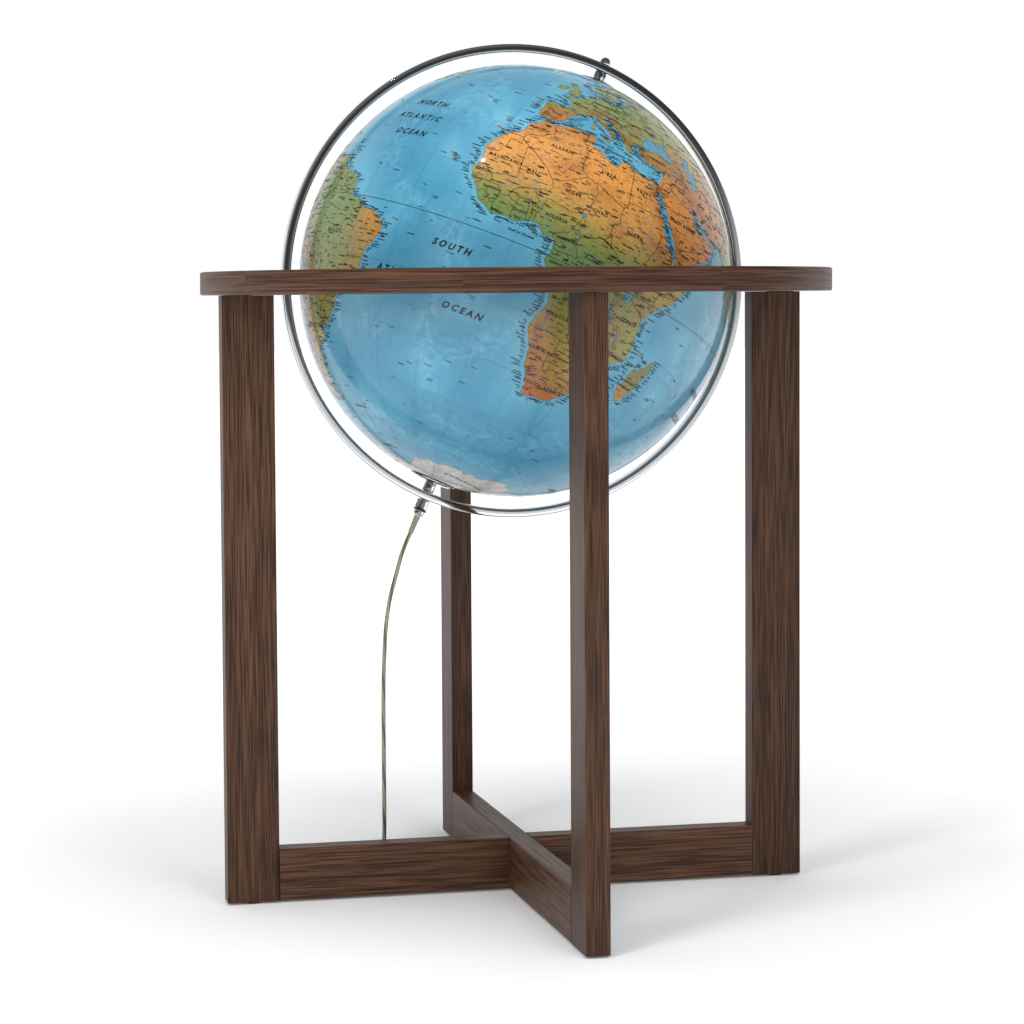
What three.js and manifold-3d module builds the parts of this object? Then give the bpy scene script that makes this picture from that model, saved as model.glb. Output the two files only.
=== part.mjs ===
// Floor-standing illuminated globe. A 500 mm sphere turns on a tilted polar axle inside a full
// chromed meridian ring, and the ring swings on two side pivots inside a round wooden horizon
// ring. Four posts and two half-lapped rails carry the horizon ring. A lamp sits at the centre
// of the globe, and its lead leaves through the hollow southern axle.
// Millimetres, +Z up. Origin on the floor below the middle of the globe. X runs from the left
// post to the right post, and -Y is the front.

import * as THREE from 'three';
import { mergeVertices } from 'three/addons/utils/BufferGeometryUtils.js';
import Module from 'manifold-3d';

const wasm = await Module();
wasm.setup();

// ---------------------------------------------------------------- driving dimensions

const GAP = 0.3; // clearance between neighbouring solids
const TILT = THREE.MathUtils.degToRad(23.5); // polar axis from vertical, north towards +X

const GLOBE_R = 250;
const SHELL_T = 2.5;
const BAND_H = 24; // joining band inside the equator
const BAND_T = 2.5;
const POLE_HOLE_R = 9;
const DISC_R = 27.5; // chromed cap over each pole hole
const DISC_RISE = 3.2; // height of the cap's middle above the sphere

const MERIDIAN_R = 274; // outer radius
const MERIDIAN_BAR = 9.5; // radial thickness of the bar
const MERIDIAN_W = 19; // width of the bar
const MERIDIAN_EDGE = 2;

const STUD_R = 4; // north stud and side screws, M8
const TUBE_R = 5; // hollow southern axle, M10
const TUBE_BORE_R = 3.3;
const RUNNING = 0.12; // clearance of a turning fit between faceted round faces
const SPACER_R = 7;
const STUD_OUT = 4.5; // north stud beyond the meridian ring
const STUD_IN = 22; // and inside the globe
const DOME_NUT = { r: 6.5, h: 9 };
const SOUTH_NUT = { r: 7, h: 11.2, edge: 0.6 };
const SEAL = { r: 8, h: 2.2, edge: 0.7 };
const GLAND = { r: 6.5, h: 5.4, edge: 1.2 };

const PAD_H = 2; // felt pads below the posts
const PAD_R = 11;
const POST_W = 60; // along a radius of the stand
const POST_T = 27;
const POST_OUT = 345; // outer face of a post from the middle
const POST_H = 695.5;
const WOOD_EDGE = 1.5; // rounded edges of posts and rails
const RAIL_H = 60;

const RING_OUT = 365;
const RING_IN = 283;
const RING_H = 26.5;
const RING_EDGE = 4;
const RING_SEGMENTS = 8;
const RING_FACETS = 64;

const LOOSE_TENON = { w: 34, t: 8, edge: 3.9, reach: 22 }; // floating tenons hidden in the joints
const POST_TENON = { out: 10, down: 8 }; // its middle, outward of the post's and below the ring

const INSERT = { r: 8, h: 24, boss: 7, flange: 11, flangeT: 2.3 }; // threaded side pivot sleeves
const SCREW = { headR: 6.8, headTopR: 6, headH: 3, rim: 1, short: 4 }; // ends short of its sleeve

const LAMP_HOLDER = { r: 14, h: 44, at: -64, wellR: 10, well: 16, neckR: 9, neck: 8 };
const BULB = { r: 22.5, capR: 7, capH: 22, stem: 14 };

const CORD_R = 2.5;
const RELIEF = { r0: 3.9, r1: 3.3, h: 22, bore: 2.8 }; // tapered sleeve where the lead comes out
const COIL = { x: -250, y: 120, mid: 30, columns: 3, low: 1.5 };
const TIE = { w: 6, t: 0.9, edge: 1.5, turn: -Math.PI / 4 };
const SWITCH = { x: -226, y: 52, l: 58, w: 24, h: 17, edge: 7, wall: 4, endWall: 8, cord: 5.5 };
const ROCKER = { l: 20, w: 9, throw: 3 };
const PLUG = { x: -196, l: 36, w: 26, waist: 12, h: 14, edge: 1.5, pinR: 2, pinL: 19, pitch: 18.6 };
const PIN_IN = 7; // plug pins inside the body
const LIE = 0.3; // height above the floor of everything that lies on it

// ---------------------------------------------------------------- worked-out places

const ringBottom = PAD_H + POST_H;
const centreZ = ringBottom + RING_H / 2; // middle of the globe, and height of the side pivots
const railMiddle = PAD_H + RAIL_H / 2;
const meridianIn = MERIDIAN_R - MERIDIAN_BAR;
const meridianSeat = meridianIn - 2.5 * GAP; // where a flat end meets the bar's curved inner face
const postIn = POST_OUT - POST_W;
const coilR = COIL.mid + COIL.columns * CORD_R;
const coilHole = COIL.mid - COIL.columns * CORD_R;
const coilTop = COIL.low + 4 * CORD_R;
const axis = new THREE.Vector3(Math.sin(TILT), 0, Math.cos(TILT));

// ---------------------------------------------------------------- materials

const finish = (color, roughness, metalness = 0) =>
  new THREE.MeshStandardMaterial({ color, roughness, metalness });

const WOOD = () => finish(0x4a352b, 0.5);
const BEECH = () => finish(0xc8a878, 0.7);
const CHROME = () => finish(0xb8bcc0, 0.12, 1);
const STEEL = () => finish(0x9a9ca0, 0.35, 1);
const BRASS = () => finish(0xb89a55, 0.35, 1);
const RUBBER = () => finish(0x1c1c1c, 0.8);
const NYLON = () => finish(0xd8d4c8, 0.6);
const OCEAN = () => finish(0x6fa6bd, 0.3);
const FELT = () => finish(0x3a332e, 0.95);
const LEAD = () => finish(0x77755c, 0.35);
const BLACK = () => finish(0x20201f, 0.45);
const OPAL = () => finish(0xf0eee6, 0.4);

// ---------------------------------------------------------------- shaping helpers

const place = (x = 0, y = 0, z = 0) => new THREE.Matrix4().makeTranslation(x, y, z);
const turnZ = (angle) => new THREE.Matrix4().makeRotationZ(angle);
const turnX = (angle) => new THREE.Matrix4().makeRotationX(angle);
const turnY = (angle) => new THREE.Matrix4().makeRotationY(angle);
const chain = (...steps) => steps.reduce((all, step) => all.multiply(step), new THREE.Matrix4());

// A closed geometry as a manifold-3d solid.
function solid(geometry, matrix = new THREE.Matrix4()) {
  const bare = geometry.index ? geometry.toNonIndexed() : geometry.clone();
  for (const name of Object.keys(bare.attributes)) {
    if (name !== 'position') bare.deleteAttribute(name);
  }
  bare.applyMatrix4(matrix);
  const merged = mergeVertices(bare, 1e-4);
  const at = merged.index.array;
  const corners = [];
  for (let i = 0; i < at.length; i += 3) {
    const [a, b, c] = [at[i], at[i + 1], at[i + 2]];
    if (a !== b && b !== c && c !== a) corners.push(a, b, c);
  }
  return new wasm.Manifold(new wasm.Mesh({
    numProp: 3,
    vertProperties: new Float32Array(merged.attributes.position.array),
    triVerts: new Uint32Array(corners),
  }));
}

// A manifold-3d solid back as a flat-shaded geometry.
function geometryOf(manifold) {
  const { vertProperties, triVerts, numProp } = manifold.getMesh();
  const points = new Float32Array(triVerts.length * 3);
  triVerts.forEach((v, i) => {
    for (let k = 0; k < 3; k += 1) points[i * 3 + k] = vertProperties[v * numProp + k];
  });
  const geometry = new THREE.BufferGeometry();
  geometry.setAttribute('position', new THREE.BufferAttribute(points, 3));
  geometry.computeVertexNormals();
  return geometry;
}

// Body of revolution about +Z from [radius, height] pairs that close on the axis or on themselves.
function revolve(profile, segments = 20) {
  const points = profile.map(([r, h]) => new THREE.Vector2(r, h));
  const hollow = profile.every(([r]) => r > 0);
  if (hollow) points.push(points[0].clone());
  return new THREE.LatheGeometry(points, segments).rotateX(Math.PI / 2);
}

const rod = (r, z0, z1, segments = 16) => revolve([[0, z0], [r, z0], [r, z1], [0, z1]], segments);
const sleeve = (r, bore, z0, z1, segments = 20) =>
  revolve([[bore, z0], [r, z0], [r, z1], [bore, z1]], segments);

// Corner arcs of a rounded rectangle, anticlockwise, as [u, v] pairs about its middle.
function roundedRectangle(width, height, radius, steps = 2) {
  const points = [];
  for (let corner = 0; corner < 4; corner += 1) {
    const sx = corner === 0 || corner === 3 ? 1 : -1;
    const sy = corner < 2 ? 1 : -1;
    for (let i = 0; i <= steps; i += 1) {
      const angle = (corner + i / steps) * Math.PI / 2;
      points.push([
        sx * (width / 2 - radius) + radius * Math.cos(angle),
        sy * (height / 2 - radius) + radius * Math.sin(angle),
      ]);
    }
  }
  return points;
}

// Straight bar along +Z with a rounded rectangular section, from z0 to z1.
function bar(width, depth, radius, z0, z1, steps = 2) {
  const outline = roundedRectangle(width, depth, radius, steps);
  const shape = new THREE.Shape(outline.map(([u, v]) => new THREE.Vector2(u, v)));
  const geometry = new THREE.ExtrudeGeometry(shape, { depth: z1 - z0, bevelEnabled: false });
  return geometry.translate(0, 0, z0);
}

const block = (x, y, z) => new THREE.BoxGeometry(x, y, z);

// ---------------------------------------------------------------- the assembly

const group = new THREE.Group();
group.name = 'globe_on_stand';

function add(parent, name, shape, material) {
  const geometry = shape instanceof THREE.BufferGeometry ? shape : geometryOf(shape);
  const mesh = new THREE.Mesh(geometry, material);
  mesh.name = name;
  parent.add(mesh);
  return mesh;
}

// Everything round the globe's centre. The tilted group's +Z is the polar axis.
const centre = new THREE.Group();
centre.position.z = centreZ;
group.add(centre);
const tilted = new THREE.Group();
tilted.rotation.y = TILT;
centre.add(tilted);

// ---------------------------------------------------------------- horizon ring

const SIDES = [
  { name: 'right', turn: 0 },
  { name: 'back', turn: Math.PI / 2 },
  { name: 'left', turn: Math.PI },
  { name: 'front', turn: -Math.PI / 2 },
];

// Mortise for a floating tenon, a little larger and deeper than the tenon.
const mortise = () =>
  solid(block(LOOSE_TENON.w + 2 * GAP, LOOSE_TENON.t + 2 * GAP, 2 * LOOSE_TENON.reach + 2 * GAP));
const tenon = () =>
  bar(LOOSE_TENON.w, LOOSE_TENON.t, LOOSE_TENON.edge, -LOOSE_TENON.reach, LOOSE_TENON.reach);

const postMiddle = (POST_OUT + postIn) / 2;
const tenonOut = postMiddle + POST_TENON.out;

function horizonRing() {
  const middle = (RING_OUT + RING_IN) / 2;
  const section = roundedRectangle(RING_OUT - RING_IN, RING_H, RING_EDGE)
    .map(([u, v]) => [middle + u, v]);
  let ring = solid(revolve(section, RING_FACETS), turnZ(Math.PI / RING_FACETS));
  for (const side of SIDES) {
    const drill = rod(INSERT.r + GAP, RING_IN - 5, RING_IN + INSERT.h + GAP, 16);
    if (side.name === 'left' || side.name === 'right') {
      ring = ring.subtract(solid(drill, chain(turnZ(side.turn), turnY(Math.PI / 2))));
    }
    ring = ring.subtract(mortise().transform(
      chain(turnZ(side.turn), place(tenonOut, 0, -RING_H / 2 - POST_TENON.down)).elements));
  }
  return ring;
}

// Wedge that keeps one segment of the ring, drawn back half a gap at each glue line.
function wedge(index) {
  const half = Math.PI / RING_SEGMENTS;
  const far = RING_OUT * 1.3;
  const draw = GAP / 2 / Math.sin(half);
  const shape = new THREE.Shape([
    new THREE.Vector2(draw, 0),
    new THREE.Vector2(draw + far * Math.cos(half), -far * Math.sin(half)),
    new THREE.Vector2(draw + far * Math.cos(half), far * Math.sin(half)),
  ]);
  const geometry = new THREE.ExtrudeGeometry(shape, { depth: 2 * RING_H, bevelEnabled: false });
  return solid(geometry, chain(turnZ(2 * half * index), place(0, 0, -RING_H)));
}

const wholeRing = horizonRing();
for (let i = 0; i < RING_SEGMENTS; i += 1) {
  add(centre, `ring_segment_${i + 1}`, wholeRing.intersect(wedge(i)), WOOD());
}

// ---------------------------------------------------------------- posts, rails, pads

function post(side) {
  const base = bar(POST_W, POST_T, WOOD_EDGE, PAD_H, ringBottom - GAP);
  const top = chain(place(POST_TENON.out, 0, ringBottom - POST_TENON.down));
  const foot = chain(place(-POST_W / 2, 0, railMiddle), turnY(Math.PI / 2));
  const upright = chain(turnZ(side.turn), place(postMiddle, 0, 0));
  return solid(base)
    .subtract(mortise().transform(top.elements))
    .subtract(mortise().transform(foot.elements))
    .transform(upright.elements);
}

// Rail along X with a lap cut into half its height, from the top or from the bottom.
function rail(lapFromTop) {
  const half = postIn - GAP;
  const along = chain(place(0, 0, railMiddle), turnY(Math.PI / 2));
  let beam = solid(bar(RAIL_H, POST_T, WOOD_EDGE, -half, half), along);
  const over = 1; // the cutter reaches past the faces it opens
  const depth = RAIL_H / 2 + GAP / 2;
  const lapZ = lapFromTop ? PAD_H + RAIL_H - depth / 2 + over : PAD_H + depth / 2 - over;
  const cutter = block(POST_T + 2 * GAP, POST_T + 4 * over, depth + 2 * over);
  beam = beam.subtract(solid(cutter, place(0, 0, lapZ)));
  for (const end of [-1, 1]) {
    const slot = chain(place(end * postIn, 0, railMiddle), turnY(Math.PI / 2));
    beam = beam.subtract(mortise().transform(slot.elements));
  }
  return beam;
}

for (const side of SIDES) {
  add(group, `post_${side.name}`, post(side), WOOD());
  add(group, `pad_${side.name}`,
    rod(PAD_R, 0, PAD_H - GAP / 2, 24).translate(postMiddle, 0, 0).rotateZ(side.turn), FELT());
  add(group, `rail_tenon_${side.name}`,
    tenon().rotateY(Math.PI / 2).translate(postIn, 0, railMiddle).rotateZ(side.turn), BEECH());
  add(group, `post_tenon_${side.name}`,
    tenon().translate(tenonOut, 0, ringBottom - POST_TENON.down).rotateZ(side.turn), BEECH());
}
add(group, 'rail_left_right', rail(true), WOOD());
add(group, 'rail_front_back', rail(false).transform(turnZ(Math.PI / 2).elements), WOOD());

// ---------------------------------------------------------------- side pivots

for (const side of [SIDES[0], SIDES[2]]) {
  const out = chain(turnZ(side.turn), turnY(Math.PI / 2)); // +Z becomes the outward radius
  const boss = MERIDIAN_R + GAP;
  const seat = RING_IN - 3 * GAP; // the flange is flat, and the wood behind it is curved
  const flange = seat - INSERT.flangeT;
  add(centre, `pivot_insert_${side.name}`, solid(revolve([
    [STUD_R + GAP, boss], [INSERT.boss, boss], [INSERT.boss, flange], [INSERT.flange, flange],
    [INSERT.flange, seat], [INSERT.r, seat], [INSERT.r, RING_IN + INSERT.h],
    [STUD_R + GAP, RING_IN + INSERT.h],
  ]), out), CHROME());
  add(centre, `pivot_screw_${side.name}`, solid(revolve([
    [0, meridianSeat - SCREW.headH], [SCREW.headTopR, meridianSeat - SCREW.headH],
    [SCREW.headR, meridianSeat - SCREW.rim], [SCREW.headR, meridianSeat], [STUD_R, meridianSeat],
    [STUD_R, RING_IN + INSERT.h - SCREW.short], [0, RING_IN + INSERT.h - SCREW.short],
  ]), out), STEEL());
}

// ---------------------------------------------------------------- meridian ring and polar axle

function meridianRing() {
  const middle = MERIDIAN_R - MERIDIAN_BAR / 2;
  const section = roundedRectangle(MERIDIAN_BAR, MERIDIAN_W, MERIDIAN_EDGE)
    .map(([u, v]) => [middle + u, v]);
  const hole = (r, along) => solid(rod(r, meridianIn - 20, MERIDIAN_R + 20), along);
  const upright = turnX(Math.PI / 2);
  return solid(revolve(section, 72), upright)
    .subtract(hole(STUD_R + RUNNING, turnY(TILT)))
    .subtract(hole(TUBE_R + RUNNING, turnY(TILT + Math.PI)))
    .subtract(hole(STUD_R + RUNNING, turnY(Math.PI / 2)))
    .subtract(hole(STUD_R + RUNNING, turnY(-Math.PI / 2)));
}
add(centre, 'meridian_ring', meridianRing(), CHROME());

// Height on the polar axis where a cap or disc meets the sphere at radius r.
const sphereAt = (r) => Math.sqrt(GLOBE_R ** 2 - r ** 2);
const capTop = GLOBE_R + DISC_RISE;

// Southern pieces are drawn along +Z and flipped, so both ends read outwards.
const south = (geometry) => geometry.rotateX(Math.PI);

add(tilted, 'north_spacer', sleeve(SPACER_R, STUD_R + GAP, capTop + GAP, meridianSeat), CHROME());
add(tilted, 'south_spacer',
  south(sleeve(SPACER_R, TUBE_R + GAP, capTop + GAP, meridianSeat)), CHROME());

const domeFrom = MERIDIAN_R + GAP;
const studTop = MERIDIAN_R + STUD_OUT;
add(tilted, 'north_dome_nut', solid(revolve([
  [0, domeFrom], [DOME_NUT.r, domeFrom], [DOME_NUT.r, domeFrom + 3.4], [DOME_NUT.r - 1.1, domeFrom + 6],
  [DOME_NUT.r - 3.2, domeFrom + 8.3], [0, domeFrom + DOME_NUT.h],
])).subtract(solid(rod(STUD_R + GAP, domeFrom - 5, studTop + GAP))), CHROME());
add(tilted, 'north_stud', rod(STUD_R, GLOBE_R - STUD_IN, studTop), STEEL());

const nutEnd = domeFrom + SOUTH_NUT.h;
const sealEnd = nutEnd + GAP + SEAL.h;
const glandFrom = sealEnd + GAP;
const glandEnd = glandFrom + GLAND.h;
add(tilted, 'south_nut', south(revolve([
  [TUBE_R + GAP, domeFrom], [SOUTH_NUT.r - SOUTH_NUT.edge, domeFrom],
  [SOUTH_NUT.r, domeFrom + SOUTH_NUT.edge], [SOUTH_NUT.r, nutEnd - SOUTH_NUT.edge],
  [SOUTH_NUT.r - SOUTH_NUT.edge, nutEnd], [TUBE_R + GAP, nutEnd],
])), CHROME());
add(tilted, 'south_seal', south(revolve([
  [TUBE_R + GAP, nutEnd + GAP], [SEAL.r - SEAL.edge, nutEnd + GAP],
  [SEAL.r, nutEnd + GAP + SEAL.h / 2], [SEAL.r - SEAL.edge, sealEnd], [TUBE_R + GAP, sealEnd],
])), RUBBER());
add(tilted, 'cord_gland', south(revolve([
  [RELIEF.bore, glandFrom], [GLAND.r, glandFrom], [GLAND.r, glandEnd - GLAND.edge],
  [GLAND.r - GLAND.edge, glandEnd], [RELIEF.bore, glandEnd],
])), STEEL());

const holderFace = -LAMP_HOLDER.at;
add(tilted, 'lamp_tube', south(sleeve(TUBE_R, TUBE_BORE_R, holderFace + GAP, sealEnd, 16)), STEEL());
const holderMouth = holderFace - LAMP_HOLDER.h;
add(tilted, 'lamp_holder', south(revolve([
  [0, holderMouth + LAMP_HOLDER.well], [LAMP_HOLDER.wellR, holderMouth + LAMP_HOLDER.well],
  [LAMP_HOLDER.wellR, holderMouth], [LAMP_HOLDER.r, holderMouth],
  [LAMP_HOLDER.r, holderFace - LAMP_HOLDER.neck], [LAMP_HOLDER.neckR, holderFace], [0, holderFace],
])), OPAL());
const capFoot = -holderMouth - LAMP_HOLDER.well + 1; // the bulb's cap ends just short of the well's floor
const bulbMiddle = -holderMouth + BULB.r + BULB.stem;
add(tilted, 'bulb', revolve([
  [0, capFoot], [BULB.capR, capFoot], [BULB.capR, capFoot + BULB.capH],
  ...[-60, -35, -10, 15, 40, 65].map((deg) => {
    const a = THREE.MathUtils.degToRad(deg);
    return [BULB.r * Math.cos(a), bulbMiddle + BULB.r * Math.sin(a)];
  }),
  [0, bulbMiddle + BULB.r],
]), OPAL());

// ---------------------------------------------------------------- globe

const GLOBE_STEPS = 9; // latitude steps from the pole hole to the equator
const GLOBE_SEGMENTS = 36;

function hemisphere() {
  const inner = GLOBE_R - SHELL_T;
  const arc = (r, from, to) => Array.from({ length: GLOBE_STEPS + 1 }, (_, i) => {
    const a = from + (to - from) * i / GLOBE_STEPS;
    return [r * Math.cos(a), r * Math.sin(a)];
  });
  const lift = (r) => Math.asin(GAP / 2 / r); // keeps the halves apart at the equator
  const hole = (r) => Math.acos(POLE_HOLE_R / r);
  return revolve([
    ...arc(GLOBE_R, lift(GLOBE_R), hole(GLOBE_R)),
    ...arc(inner, hole(inner), lift(inner)),
  ], GLOBE_SEGMENTS);
}
add(tilted, 'globe_north', hemisphere(), OCEAN());
add(tilted, 'globe_south', south(hemisphere()), OCEAN());
const bandOut = Math.sqrt((GLOBE_R - SHELL_T) ** 2 - (BAND_H / 2) ** 2) - 1.2;
add(tilted, 'equator_band', sleeve(bandOut, bandOut - BAND_T, -BAND_H / 2, BAND_H / 2,
  GLOBE_SEGMENTS), NYLON());

// Shallow domed cap that sits on the sphere round a pole.
function poleDisc(bore) {
  const under = (r) => sphereAt(r) + GAP + 0.4;
  return revolve([
    [bore, under(bore)], [DISC_R * 0.55, under(DISC_R * 0.55)], [DISC_R - 0.6, under(DISC_R)],
    [DISC_R, under(DISC_R) + 0.6], [DISC_R - 1, under(DISC_R) + 1.4],
    [DISC_R * 0.6, capTop - 0.9], [DISC_R * 0.35, capTop], [bore, capTop],
  ], 28);
}
// Flanged bush inside the pole hole, flange against the inside of the shell.
function poleBush(bore) {
  const inside = GLOBE_R - SHELL_T - 1.2;
  return revolve([
    [bore, inside - 3], [14, inside - 3], [14, inside - 0.5],
    [POLE_HOLE_R - GAP, inside - 0.5], [POLE_HOLE_R - GAP, GLOBE_R], [bore, GLOBE_R],
  ]);
}
add(tilted, 'north_pole_disc', poleDisc(STUD_R + 0.5), CHROME());
add(tilted, 'south_pole_disc', south(poleDisc(TUBE_R + 0.5)), CHROME());
add(tilted, 'north_pole_bush', poleBush(STUD_R + RUNNING), NYLON());
add(tilted, 'south_pole_bush', south(poleBush(TUBE_R + RUNNING)), NYLON());

// ---------------------------------------------------------------- lead, switch, coil and plug

const leadFrom = glandEnd + GAP;
const onAxis = (s) => axis.clone().multiplyScalar(-s).add(new THREE.Vector3(0, 0, centreZ));

// Eight-sided tube along a smooth curve through the points.
function tube(points, steps) {
  const path = new THREE.CatmullRomCurve3(points);
  const shape = new THREE.Shape(Array.from({ length: 8 }, (_, i) => new THREE.Vector2(
    CORD_R * Math.cos(i * Math.PI / 4), CORD_R * Math.sin(i * Math.PI / 4))));
  return new THREE.ExtrudeGeometry(shape, { steps, extrudePath: path, bevelEnabled: false });
}
const at = (x, y, z) => new THREE.Vector3(x, y, z);

const switchIn = SWITCH.x + SWITCH.l / 2;
const switchOut = SWITCH.x - SWITCH.l / 2;
const FLOOR_Z = CORD_R + LIE; // centre line of a lead that lies on the floor

// From the gland, straight along the axle, down under its own weight and along the floor.
add(group, 'cord_drop', tube([
  onAxis(leadFrom), onAxis(leadFrom + 22), onAxis(leadFrom + 46),
  at(-144, 1, 369), at(-150.5, 4, 342), at(-154, 9, 310), at(-155, 15, 275),
  at(-155, 21, 235), at(-154, 27, 195), at(-153, 32, 155), at(-152, 37, 115), at(-151, 42, 80),
  at(-151, 46, 52), at(-153, 49, 30), at(-159, 51, 12.5), at(-168, 52, 4.2), at(-178, 52, 3.4),
  at(switchIn + 8, SWITCH.y, SWITCH.cord - 0.4), at(switchIn + GAP, SWITCH.y, SWITCH.cord),
], 48), LEAD());
add(group, 'strain_relief', revolve([
  [RELIEF.bore, leadFrom], [RELIEF.r0, leadFrom], [RELIEF.r1, leadFrom + RELIEF.h],
  [RELIEF.bore, leadFrom + RELIEF.h],
], 12).rotateX(Math.PI).rotateY(TILT).translate(0, 0, centreZ), LEAD());

const coilLeft = COIL.x - coilR;
add(group, 'cord_run', tube([
  at(switchOut - GAP, SWITCH.y, SWITCH.cord), at(switchOut - 7, SWITCH.y, SWITCH.cord - 0.4),
  at(switchOut - 18, SWITCH.y + 4, 3.4), at(switchOut - 27, SWITCH.y + 14, FLOOR_Z),
  at(coilLeft - 3, SWITCH.y + 26, FLOOR_Z), at(coilLeft - 5, COIL.y - 26, 3.4),
  at(coilLeft - 5, COIL.y - 12, 4),
], 10), LEAD());
add(group, 'cord_coil',
  sleeve(coilR, coilHole, COIL.low, coilTop, 36).translate(COIL.x, COIL.y, 0), LEAD());

// Band round the bundle on the coil's near side.
const tieRing = () => {
  const w = 2 * COIL.columns * CORD_R + 5 * GAP;
  const h = 4 * CORD_R + 2 * GAP;
  const outer = bar(w + 2 * TIE.t, h + 2 * TIE.t, TIE.edge, -TIE.w / 2, TIE.w / 2);
  return solid(outer).subtract(solid(block(w, h, 2 * TIE.w)));
};
add(group, 'cord_tie', tieRing().transform(chain(
  place(COIL.x, COIL.y, 0), turnZ(TIE.turn), place(COIL.mid, 0, COIL.low + 2 * CORD_R),
  turnX(Math.PI / 2),
).elements), BLACK());

const plugBack = PLUG.x + GAP;
const coilFar = COIL.y + COIL.mid + 2 * CORD_R;
add(group, 'cord_tail', tube([
  at(COIL.x + 20, coilFar + 5, coilTop - CORD_R), at(COIL.x + 34, coilFar + 4, coilTop - 4),
  at(PLUG.x - 8, coilFar + 1, PLUG.h / 2 + 0.4), at(PLUG.x, coilFar, PLUG.h / 2 + 0.3),
], 6), LEAD());

// Two-part switch body with the rocker in a well of the upper half.
const split = SWITCH.h / 2;
function switchHalf(upper) {
  const outer = bar(SWITCH.l, SWITCH.w, SWITCH.edge, LIE, SWITCH.h);
  const keep = upper
    ? block(2 * SWITCH.l, 2 * SWITCH.w, SWITCH.h).translate(0, 0, split + GAP / 2 + SWITCH.h / 2)
    : block(2 * SWITCH.l, 2 * SWITCH.w, SWITCH.h).translate(0, 0, split - GAP / 2 - SWITCH.h / 2);
  const room = block(SWITCH.l - 2 * SWITCH.endWall, SWITCH.w - 2 * SWITCH.wall, SWITCH.h - 5)
    .translate(0, 0, SWITCH.h / 2);
  const well = block(ROCKER.l + 2, ROCKER.w + 1, SWITCH.h);
  let half = solid(outer).intersect(solid(keep)).subtract(solid(room));
  if (upper) half = half.subtract(solid(well, place(0, 0, SWITCH.h)));
  return half.transform(place(SWITCH.x, SWITCH.y, 0).elements);
}
add(group, 'switch_lower', switchHalf(false), BLACK());
add(group, 'switch_upper', switchHalf(true), BLACK());

// Rocker, thrown to its +X side: its top is two planes that meet over the pin.
const rockerPivotZ = SWITCH.h - 4;
const rockerTilt = Math.asin(ROCKER.throw / ROCKER.l);
function rocker() {
  const h = ROCKER.l / 2;
  const profile = new THREE.Shape([
    new THREE.Vector2(-h, 2.2), new THREE.Vector2(-h + 3, -1.5), new THREE.Vector2(h - 3, -1.5),
    new THREE.Vector2(h, 2.2), new THREE.Vector2(h, 4), new THREE.Vector2(0, 5.2 - ROCKER.throw / 2),
    new THREE.Vector2(-h, 4),
  ]);
  const geometry = new THREE.ExtrudeGeometry(profile, { depth: ROCKER.w, bevelEnabled: false });
  return solid(geometry, chain(place(SWITCH.x, SWITCH.y, rockerPivotZ), turnX(Math.PI / 2),
    place(0, 0, -ROCKER.w / 2), turnZ(-rockerTilt)));
}
add(group, 'switch_rocker', rocker(), BLACK());

// Flat two-pin plug, lying on its broad face beside the coil.
function plugBody() {
  const half = PLUG.w / 2;
  const waist = PLUG.waist / 2;
  const shape = new THREE.Shape();
  shape.moveTo(0, -waist);
  shape.bezierCurveTo(PLUG.l * 0.35, -waist, PLUG.l * 0.45, -half, PLUG.l * 0.75, -half);
  shape.lineTo(PLUG.l, -half);
  shape.lineTo(PLUG.l, half);
  shape.lineTo(PLUG.l * 0.75, half);
  shape.bezierCurveTo(PLUG.l * 0.45, half, PLUG.l * 0.35, waist, 0, waist);
  const geometry = new THREE.ExtrudeGeometry(shape, {
    depth: PLUG.h - 2 * PLUG.edge, bevelEnabled: true, bevelThickness: PLUG.edge,
    bevelSize: PLUG.edge, bevelOffset: -PLUG.edge, bevelSegments: 1, curveSegments: 4,
  });
  let body = solid(geometry, place(plugBack, coilFar, LIE + PLUG.edge));
  for (const y of [-PLUG.pitch / 2, PLUG.pitch / 2]) {
    body = body.subtract(solid(rod(PLUG.pinR + GAP, -PIN_IN - 1, PIN_IN + 1, 12),
      chain(place(plugBack + PLUG.l, coilFar + y, LIE + PLUG.h / 2), turnY(Math.PI / 2))));
  }
  return body;
}
add(group, 'plug_body', plugBody(), BLACK());
[-1, 1].forEach((sign, i) => {
  const pin = revolve([
    [0, -PIN_IN], [PLUG.pinR, -PIN_IN], [PLUG.pinR, PLUG.pinL - 1.2], [PLUG.pinR - 0.8, PLUG.pinL],
    [0, PLUG.pinL],
  ], 12);
  add(group, `plug_pin_${i + 1}`, pin.rotateY(Math.PI / 2)
    .translate(plugBack + PLUG.l, coilFar + sign * PLUG.pitch / 2, LIE + PLUG.h / 2), BRASS());
});

export default group;
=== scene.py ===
"""Looks of the floor globe: smooth metalwork, stained wood, the printed map, and the lead.

Metres, +Z up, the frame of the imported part. Longitudes and latitudes are in degrees.
"""
import math
import random

import bpy
import numpy as np
from mathutils import Matrix, Vector
from mathutils.geometry import delaunay_2d_cdt


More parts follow.
